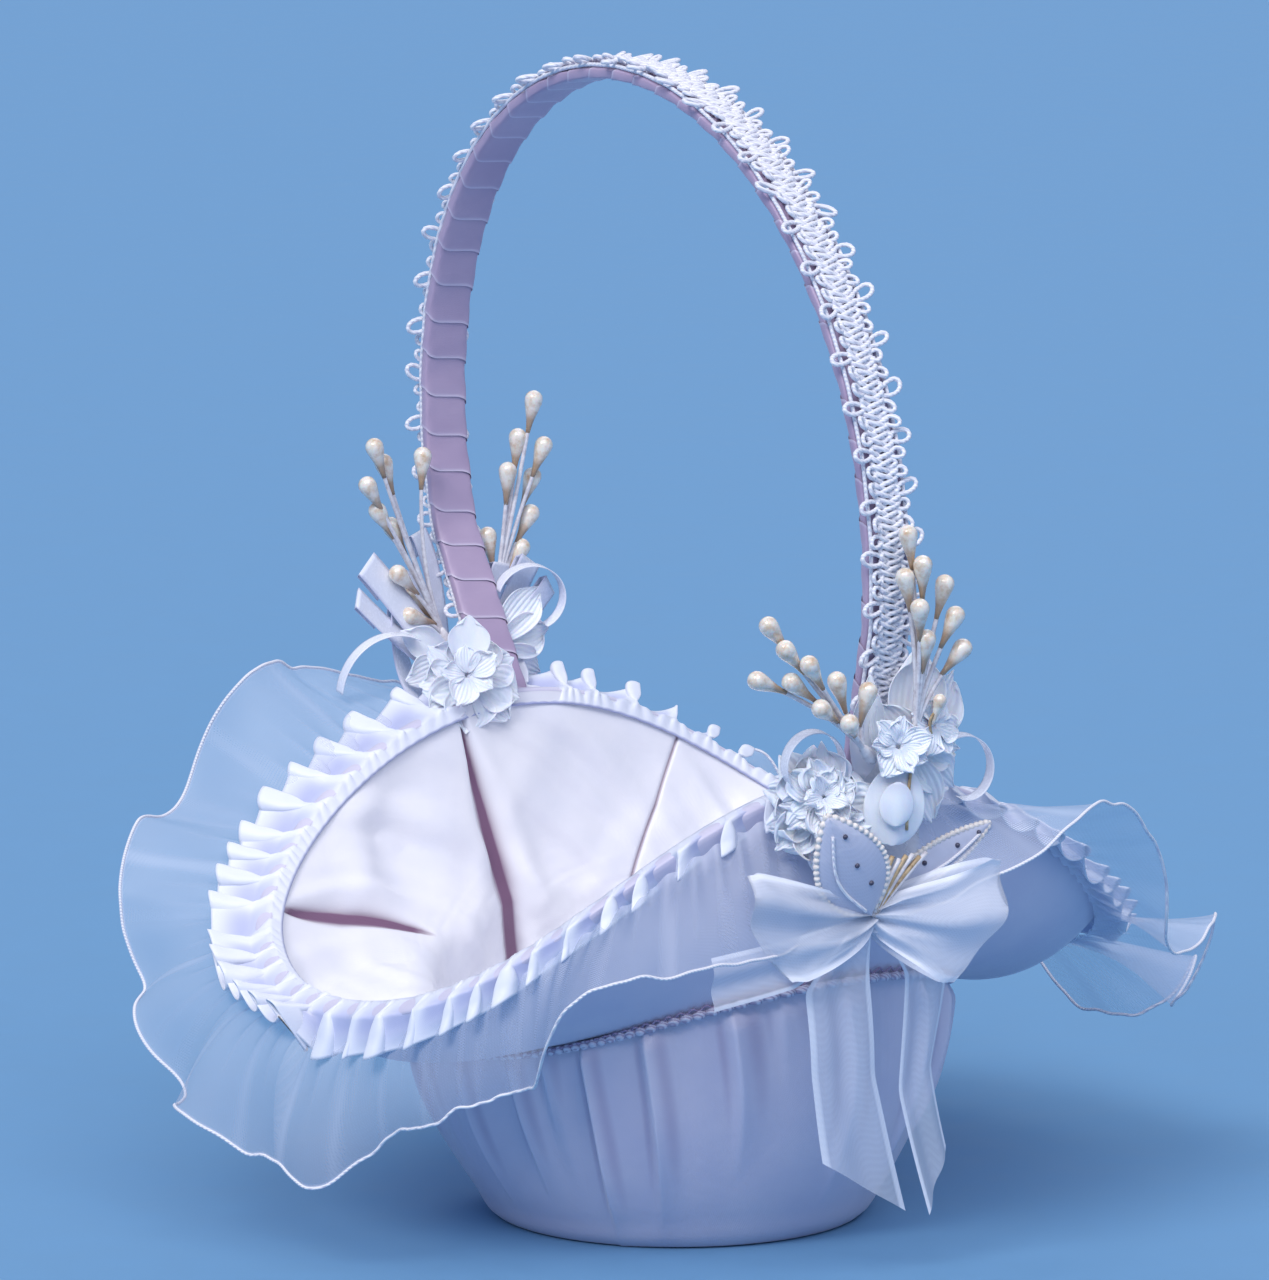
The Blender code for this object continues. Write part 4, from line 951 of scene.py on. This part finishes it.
# A drop pearl from its neck to its end: running length and radius, in mm.
DROP = np.array([(-7.4, 0.66), (-5.4, 0.86), (-3.4, 1.22), (-1.6, 1.72), (0.2, 2.25), (1.8, 2.66),
                 (3.1, 2.76), (4.2, 2.42), (5.0, 1.70), (5.4, 0.9), (5.6, 0.0)])


def spray(name, node, place, base, tips):
    """Drop pearls on waxed stems that meet in one bound base."""
    base = place(*base)
    tips = [place(*tip) for tip in tips]
    mean = unit(sum(tip - base for tip in tips))
    run, radius = DROP.T * MM
    pearls, stems = Shape(), Shape()
    for tip in tips:
        line = bezier(base, base + mean * 0.45 * np.linalg.norm(tip - base), tip, 12)
        stems.tube(line, np.linspace(0.80, 0.64, 12) * MM, 6)
        # Painted shade: each pearl darkens to brown towards its neck.
        pearls.tube(tip + unit(line[-1] - line[-2]) * run[:, None], radius, 14,
                    tint=smooth(0.1, -4.5, run / MM))
    pearls.make(name, PEARL, "pearl", [node])
    grip = bezier(base - mean * 3 * MM, base, base + mean * 5 * MM, 8)
    stems.tube(grip, np.array([0.8, 1.5, 1.8, 1.9, 1.8, 1.6, 1.2, 0.7]) * MM, 8)
    stems.make(name + "_stems", STEM, "pearl")


def centre_pearl(name, centre, way, size):
    """One small pearl in the middle of a blossom."""
    run, radius = DROP.T * MM * size
    made = Shape()
    made.tube(centre + np.array(way) * run[:, None], radius, 12)
    made.make(name, PEARL, "pearl")


def strip(made, line, width, across, painted_edge_shade=0.0):
    """A narrow ribbon along a line, lying along a fixed crosswise direction, its width in mm, with an amount
    of painted shade along both edges.
    """
    v = np.linspace(-0.5, 0.5, 9)
    points = line[:, None] + unit(np.array(across)) * (v * width * MM)[None, :, None]
    made.grid(points, painted_edge_shade * (np.abs(v) > 0.4)[None])


def ribbon_ring(name, node, centre, radius, start, end, squash=1.0):
    """A loop of narrow ribbon standing in the XZ plane, twisting towards +Y as it goes round."""
    a = np.radians(np.linspace(start, end, 60))
    ring = np.stack([np.cos(a), 0 * a, squash * np.sin(a)], -1) * radius * MM
    ring[:, 1] = np.linspace(-0.5, 0.5, 60) * RING_TWIST
    made = Shape()
    strip(made, centre + ring, RING_RIBBON, (0.15, 1.0, 0.1))
    made.make(name, RIBBON, "ribbon", [node], thickness=0.3 * MM)


def bow_loop(name, node, knot, top, bottom, seed):
    """A loop of wide sheer ribbon: out along the front, round its end and back behind."""
    depth = 4.5 * MM
    u = np.linspace(0, 1, 64)[:, None]
    v = np.linspace(0, 1, 33)[None]
    share = np.sin(PI * u) ** 0.62
    share = np.where(u < 0.5, share, share * 0.93)
    spread = mix(0.12, 1.0, share ** 0.72) * (1 - 0.10 * smooth(0.85, 1.0, share))
    away = knot + ((top + bottom) / 2 - knot) * (share * (1 + 0.16 * share ** 3 * np.sin(PI * v)))[..., None]
    half = (top - bottom) / 2 * spread[..., None]
    lift = -depth * np.cos(PI * u) * np.sin(PI * np.clip(share, 0, 1) ** 1.4) ** 0.8
    lift = lift - 0.6 * MM * np.cos(PI * u)
    fold = 2.3 * np.cos(2 * PI * 3.0 * v + seed) * (1 - smooth(0.05, 0.95, share))
    fold = fold + 0.7 * np.cos(2 * PI * 6.5 * v - seed) * (1 - smooth(0.1, 0.8, share))
    fold = fold + 1.3 * np.cos(2 * PI * 2.0 * v + 2 * seed + 3 * share) * smooth(0.1, 0.5, share)
    fold = fold + 2.2 * np.sin(2 * PI * v * 1.1 + seed + 2 * u) * smooth(0.2, 0.8, share)
    points = away + half * (1 - 2 * v)[..., None]
    points[..., 1] += lift + fold * MM
    made = Shape()
    hem = 0.85 * smooth(0.43, 0.46, np.abs(v - 0.5))
    made.grid(points, np.maximum(hem, 0.55 * (1 - smooth(0.0, 0.35, share))))
    made.make(name, BOW_SHEER, "organza", [node])


def tail(name, node, left, right, sway, seed):
    """A flat sheer tail between two edge lines, given as places from the knot down. Sway is in mm."""
    at = np.linspace(0, 1, 70)
    ends = []
    for side in (left, right):
        places = np.array([front(*place) for place in side])
        edge = np.stack([np.interp(at, np.linspace(0, 1, len(places)), places[:, i]) for i in range(3)], -1)
        for _ in range(3):
            edge[1:-1] = (edge[:-2] + 2 * edge[1:-1] + edge[2:]) / 4
        ends.append(edge)
    v = np.linspace(0, 1, 31)[None]
    points = mix(ends[0][:, None], ends[1][:, None], v[..., None])
    wave = sway * (np.sin(2 * PI * at * 1.1 + seed) * smooth(0.05, 0.3, at))[:, None]
    points[..., 1] += (wave + 0.8 * np.cos(2 * PI * v * 1.5 + seed)) * MM
    made = Shape()
    made.grid(points, 0.9 * smooth(0.415, 0.44, np.abs(v - 0.5)))
    made.make(name, BOW_SHEER, "organza", [node])


def leaf(name, node, base, tip, width, vein_side, dots):
    """A sheer leaf, its width in mm, with a beaded edge, an inner vein and small dark dots."""
    width = width * MM
    base, length, along, side, facing = lie(front(*base), front(*tip), OUT_FRONT)

    def on_leaf(u, v):
        half = width / 2 * np.sin(PI * np.clip(v, 0, 1) ** 0.85) ** 0.8
        lift = 0.10 * width * (1 - u ** 2) - 0.05 * length * (v - 0.5) ** 2 * 4
        return (base + along * (v * length)[..., None] + side * (u * half)[..., None]
                + facing * lift[..., None])

    u, v = np.meshgrid(np.linspace(-1, 1, 19), np.linspace(0, 1, 30))
    made = Shape()
    made.grid(on_leaf(u, v), 0.3 * np.abs(u) ** 4)
    made.make(name, LEAF_SHEER, "leaf_organza", [node], thickness=0.25 * MM)
    run = np.linspace(0.02, 1, 220)
    bead = Shape()
    for edge in (-1.0, 1.0):
        line = on_leaf(np.full_like(run, edge), run)
        bead.tube(line, (0.50 + 0.50 * np.abs(np.sin(run * PI * length / (1.7 * MM)))) * MM, 7)
    bead.make(name + "_edge", BEAD, "edge_wire")
    vein = Shape()
    inner = np.linspace(0.08, 0.86, 40)
    inside = vein_side * (0.15 + 0.35 * np.sin(PI * inner))
    vein.tube(on_leaf(inside, inner) + facing * 0.5 * MM, 0.5 * MM, 6)
    vein.make(name + "_vein", EDGE, "edge_wire")
    dark_dots = Shape()
    for du, dv in dots:
        centre = on_leaf(np.array(du), np.array(dv))
        run = np.array([-0.5, -0.2, 0.4, 0.8, 1.0])[:, None] * MM
        dark_dots.tube(centre + facing * run, np.array([0.5, 0.75, 0.75, 0.45, 0.0]) * MM, 10)
    dark_dots.make(name + "_dots", DOT, "stamen")


OUT_FRONT = (-0.35, -1.0, 0.05)
OUT_BACK = (-0.35, -1.0, 0.1)


def felt_pad():
    """The felt pad behind the front flowers, thin round its edge."""
    low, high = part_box("flower_pad_front")
    mid, half = (low + high) / 2, (high - low) / 2
    t = np.linspace(0, 2 * PI, 60, endpoint=False)[None]
    q = np.concatenate([np.linspace(0, 1, 10), np.linspace(1, 0, 10)])[:, None]
    face = np.concatenate([-np.ones(10), np.ones(10)])[:, None]
    made = Shape()
    made.grid(np.stack(np.broadcast_arrays(mid.x + half.x * q * np.cos(t),
                                           mid.y + face * half.y * (1.0 - 0.6 * q ** 4),
                                           mid.z + half.z * q * np.sin(t)), -1), wrap_u=True)
    made.make("flower_felt_pad", FELT, "padding", ["flower_pad_front"])


def stamens():
    """A fan of seven stamens from the knot, and two more among the blossoms."""
    bronze, cream = Shape(), Shape()
    root = front(-3, 103.5, -113)
    for i in range(7):
        top = front(1.0 + 2.3 * i, 119.5 + 0.6 * math.sin(2.2 * i), -115)
        made = bronze if i % 2 else cream
        made.tube(bezier(root, front(-1.5 + 1.3 * i, 113, -116), top, 12), 0.75 * MM, 8)
    bronze.tube(bezier(front(11, 152, -116), front(8, 140, -118), front(8, 127, -117), 14), 0.5 * MM, 6)
    bronze.tube(bezier(front(17, 152, -113), front(14, 158, -115), front(18.5, 160, -116), 12), 0.5 * MM, 6)
    bronze.make("stamen_threads", BRONZE, "stamen", ["stamens_front"])
    cream.make("stamen_threads_pale", STEM, "stamen")


def front_cluster():
    """Everything at the front foot except the bow."""
    felt_pad()
    flower("flower_upper", "flower_front_upper", front, OUT_FRONT, [
        (1, (-7, 143, -106), (-4, 172, -108), 10, {"cup": 0.25, "curl": 0.02, "blunt": 1.0}),
        (2, (8, 150, -107), (14, 178, -111), 17, {"cup": 0.22, "ribs": 0.15, "frill": 0.5}),
        (3, (9, 148, -106), (25, 170, -108), 16, {"cup": 0.16, "ribs": 0.35, "frill": 1.0}),
        (4, (9, 147, -108), (-1, 163, -110), 15, {"cup": 0.12, "ribs": 0.35, "frill": 0.9})],
        [((17, 156, -112), (0.25, -1.0, 0.25), 9, 6, 3, 0.25, 0.9, 1.0, 0.35)])
    frilled = {"frill": 1.1, "ribs": 0.40}
    flower("flower_lip", "flower_front_lower", front, OUT_FRONT, [
        (4, (5, 146, -115), (3.5, 123, -117), 18,
         {"cup": -0.10, "curl": 0.10, "blunt": 1.1, "point": 0.02, "frill": 0.2}),
        (5, (5, 141, -117.6), (4.5, 128.5, -119.0), 10, {"cup": -0.12, "blunt": 1.1, "point": 0.02}),
        (6, (8, 150, -110), (18, 128, -112), 13, frilled),
        (7, (9, 150, -110), (25, 137, -112), 13, frilled),
        (8, (8, 151, -110), (27, 148, -112), 13, frilled)],
        [((5, 151, -114), (-0.3, -1.0, 0.3), 9, 7, 9, 0.45, 0.9, 0.8, 0.35)])
    flower("flower_left", "flower_front_left", front, OUT_FRONT, [],
           [((-21, 136, -104.5), (-0.45, -1.0, 0.15), 16, 11, 2, 0.10, 0.85, 1.9, 0.45),
            ((-21, 138, -106), (-0.40, -1.0, 0.30), 11, 9, 5, 0.35, 0.90, 1.7, 0.40),
            ((-20, 139, -107.5), (-0.40, -1.0, 0.40), 6, 5, 8, 0.7, 0.9, 1.2, 0.25)])
    spray("pearl_drops_front_left", "pearl_spray_front_left", front, (-4.8, 149.4, -110),
          [(-37, 187, -111), (-31.5, 180, -114), (-40, 173, -110), (-29, 171, -112), (-24, 175, -116),
           (-15, 169, -112), (-19.5, 163, -115), (-11, 158, -116), (-6, 165, -112)])
    spray("pearl_drops_front_right", "pearl_spray_front_right", front, (10, 150, -114),
          [(8.5, 208, -114), (13, 199, -117), (7.6, 196, -115), (20, 193, -113), (12, 187, -119),
           (23, 184, -115), (14, 178, -117), (25, 175, -114)])
    ribbon_ring("ring_front_left", "ribbon_loop_front_left", front(-23.5, 149, -105), 9, -50, 235)
    ribbon_ring("ring_front_right", "ribbon_loop_front_right", front(28, 143, -105), 9, -110, 165)
    leaf("leaf_left", "leaf_front_left", (-4, 104, -115), (-18.5, 133, -119.5), 21, -1,
         [(0.35, 0.30), (0.15, 0.52), (0.30, 0.80)])
    leaf("leaf_right", "leaf_front_right", (2, 110, -111), (38, 126, -111), 9, 1,
         [(-0.3, 0.35), (-0.1, 0.65), (0.1, 0.86)])
    stamens()
    centre_pearl("flower_pearl_front", front(18.5, 161, -116), (0.2, -0.2, 0.95), 0.7)


def bow():
    """The sheer bow under the front flowers."""
    knot = front(-4, 104, -112)
    bow_loop("bow_loop_right_sheer", "bow_loop_right", knot, front(42, 117, -127), front(24, 80, -124), 0.6)
    bow_loop("bow_loop_left_sheer", "bow_loop_left", knot, front(-46, 121, -111), front(-30, 86, -113), 2.1)
    tail("bow_short_tail_sheer", "bow_short_tail",
         [(-6, 103, -110), (-30, 100, -108), (-57, 97, -107)],
         [(-6, 98, -111), (-30, 86, -110), (-57, 82, -109)], 0.6, 0.4)
    tail("bow_tail_left_sheer", "bow_tail_left",
         [(-9, 102, -111), (-26, 84, -109), (-24, 60, -108), (-19, 34, -109)],
         [(-4, 102, -111), (-4.5, 84, -110), (-3, 58, -108), (9, 17, -108)], 1.0, 1.0)
    tail("bow_tail_right_sheer", "bow_tail_right",
         [(-2, 102, -110), (7, 86, -108), (6, 52, -107), (16.5, 15, -108)],
         [(2, 102, -110), (22, 84, -107), (18, 58, -106), (23, 34, -106)], 1.0, 2.4)
    low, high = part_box("bow_knot")
    mid = (low + high) / 2
    a = np.linspace(0, 2 * PI, 40, endpoint=False)[None]
    v = np.linspace(-1, 1, 15)[:, None]
    waist = (3.3 + 1.4 * v ** 2 + 0.3 * np.cos(9 * a)) * MM
    made = Shape()
    places = np.stack(np.broadcast_arrays(mid.x + waist * np.cos(a),
                                          mid.y - 1.5 * MM + waist * 0.75 * np.sin(a),
                                          mid.z - 1.5 * MM + 4.2 * MM * v), -1)
    made.grid(places, 0.4 * np.abs(v), wrap_u=True)
    made.make("bow_knot_sheer", BOW_SHEER, "organza", ["bow_knot"])


def ribbon_folds(name, nodes, ribbons):
    """Folded ends of ribbon as one piece: root, bend, end, width in mm and crosswise direction."""
    made = Shape()
    for root, bend, end, width, across in ribbons:
        line = bezier(back(*root), back(*bend), back(*end), 30)
        hem = line[-1] + (line[:-10:-1] - line[-1]) * 0.9 + np.array((0, 2.5 * MM, 0))
        # Painted shade along both edges of each folded ribbon.
        strip(made, np.vstack([line, hem[1:]]), width, across, 0.5)
    made.make(name, RIBBON, "ribbon", nodes, thickness=0.25 * MM)


def back_cluster():
    """The smaller cluster at the back foot."""
    inside = Shape()
    whorl(inside, back(-12, 144, 87), (-0.3, -1.0, 0.35), 15, 9, 12, 0.15, 0.9, 1.0, 0.25)
    whorl(inside, back(-13, 145, 84), (-0.3, -1.0, 0.45), 9, 5, 15, 0.35, 0.9, 0.7, 0.20)
    petal(inside, back(-13, 147, 85), back(-12, 163, 86), 13, OUT_BACK, cup=0.1, curl=0.05, seed=3)
    inside.make("flower_back_petals", PETAL, "petal", ["flower_back"], thickness=0.25 * MM)
    centre_pearl("flower_pearl_back", back(-8, 142, 82), (0.7, -0.4, 0.1), 0.62)
    spray("pearl_drops_back_left", "pearl_spray_back_left", back, (-21, 156, 110),
          [(-45, 214, 110), (-42, 209, 113), (-47, 203, 110), (-43.5, 195, 112), (-39, 190, 114),
           (-36, 176, 110), (-32, 169, 115), (-31.5, 164, 110), (-29.5, 210, 118)])
    spray("pearl_drops_back_right", "pearl_spray_back_right", back, (-6, 160, 116),
          [(9.5, 224, 118), (4, 213, 120), (12.5, 210, 118), (0.6, 203, 118), (8.5, 201, 121),
           (7.5, 190, 119), (-6, 184, 121), (4, 180, 118)])
    ribbon_ring("ring_back_right", "ribbon_loop_back_right", back(9, 167, 106), 11, -70, 165, 0.85)
    ribbon_ring("ring_back_side", "ribbon_loop_back_side", back(-40, 143, 104), 17, 62, 178)
    ribbon_folds("ribbon_folds_back_left", ["ribbon_loop_back_left"], [
        ((-20, 146, 106), (-32, 164, 110), (-49, 182, 112), 10, (0.75, 0.35, 0.55)),
        ((-20, 146, 105), (-36, 156, 108), (-52, 172, 109), 8, (0.5, 0.6, 0.6)),
        ((-22, 150, 112), (-28, 172, 116), (-40, 178, 118), 11, (0.8, 0.5, 0.3)),
        ((-30, 140, 104), (-40, 150, 110), (-38, 172, 114), 12, (0.7, 0.6, 0.2)),
        ((-22, 148, 110), (-24, 178, 116), (-31, 190, 118), 8, (0.9, 0.4, 0.2))])
    ribbon_folds("ribbon_folds_back_right", [], [
        ((-8, 146, 108), (-2, 160, 110), (9, 178, 112), 10, (0.8, 0.3, -0.5)),
        ((-6, 146, 106), (4, 156, 108), (16, 170, 109), 9, (0.6, 0.4, -0.7)),
        ((-10, 150, 112), (-6, 166, 114), (-1, 178, 116), 9, (0.9, 0.3, -0.2))])
    flower("petals_back_right", "leaf_back_right", back, OUT_BACK, [
        (1, (-4, 154, 103), (14, 170, 106), 12, {"ribs": 0.3, "frill": 0.4}),
        (2, (-4, 153, 102), (17, 157, 105), 14, {"ribs": 0.35, "frill": 0.5}),
        (3, (-5, 151, 101), (14, 143, 103), 13, {"ribs": 0.35, "frill": 0.5})], thickness=0.3 * MM)
    flower("petals_back_left", "leaf_back_left", back, OUT_BACK, [
        (1, (-20, 152, 102), (-36, 160, 104), 10, {"frill": 0.4}),
        (2, (-20, 150, 101), (-34, 145, 102), 11, {"frill": 0.6, "ribs": 0.2})], thickness=0.3 * MM)


# ---------------------------------------------------------------- stage
CAMERA_AT, CAMERA_TARGET, LENS_MM = (-1.5333, -2.2934, 0.6267), (-0.01058, 0.00700, 0.1674), 271.9
FLOOR_HALF, FLOOR_DROP = 14, -0.4 * MM


def aim(thing, place, target):
    """Put a lamp or camera at a place, looking at a target."""
    thing.location = place
    thing.rotation_euler = (target - place).to_track_quat("-Z", "Y").to_euler()


def stage():
    """Plain blue floor, soft studio light and the camera."""
    floor = bpy.data.meshes.new("floor")
    corners = ((-1, -1), (1, -1), (1, 1), (-1, 1))
    floor.from_pydata([(x * FLOOR_HALF, y * FLOOR_HALF, FLOOR_DROP) for x, y in corners], [], [(0, 1, 2, 3)])
    floor.materials.append(plain_look("floor_paper", (0.145, 0.325, 0.545), (0.138, 0.315, 0.53), 60, 0.85,
                                      0.0001))
    add_object("floor", floor)
    world = bpy.data.worlds.new("studio")
    world.use_nodes = True
    sky = world.node_tree.nodes["Background"]
    sky.inputs["Color"].default_value = (0.55, 0.68, 1.0, 1.0)
    sky.inputs["Strength"].default_value = 0.42
    bpy.context.scene.world = world
    bpy.context.scene.view_settings.view_transform = "Standard"
    for name, place, softness, strength, colour in (
            ("key", (-1.15, -0.45, 1.30), 22, 1.50, (1.0, 0.965, 0.95)),
            ("softbox", (-0.30, -1.0, 1.45), 50, 1.38, (1.0, 0.975, 0.985)),
            ("back", (0.9, 1.0, 1.1), 40, 0.45, (0.85, 0.90, 1.0))):
        data = bpy.data.lights.new(name, "SUN")
        data.angle = math.radians(softness)
        data.energy = strength
        data.color = colour
        aim(add_object(name, data), Vector(place), Vector((0, 0, 0)))
    data = bpy.data.cameras.new("camera")
    data.sensor_width = 36
    data.lens = LENS_MM
    data.clip_end = 60
    camera = add_object("camera", data)
    aim(camera, Vector(CAMERA_AT), Vector(CAMERA_TARGET))
    bpy.context.scene.camera = camera


stage()
bowl_satin()
base_satin()
brim_satin()
seam_trim()
lining()
satin_ruffle()
sheer_ruffle()
handle_ribbon()
braid()
front_cluster()
bow()
back_cluster()
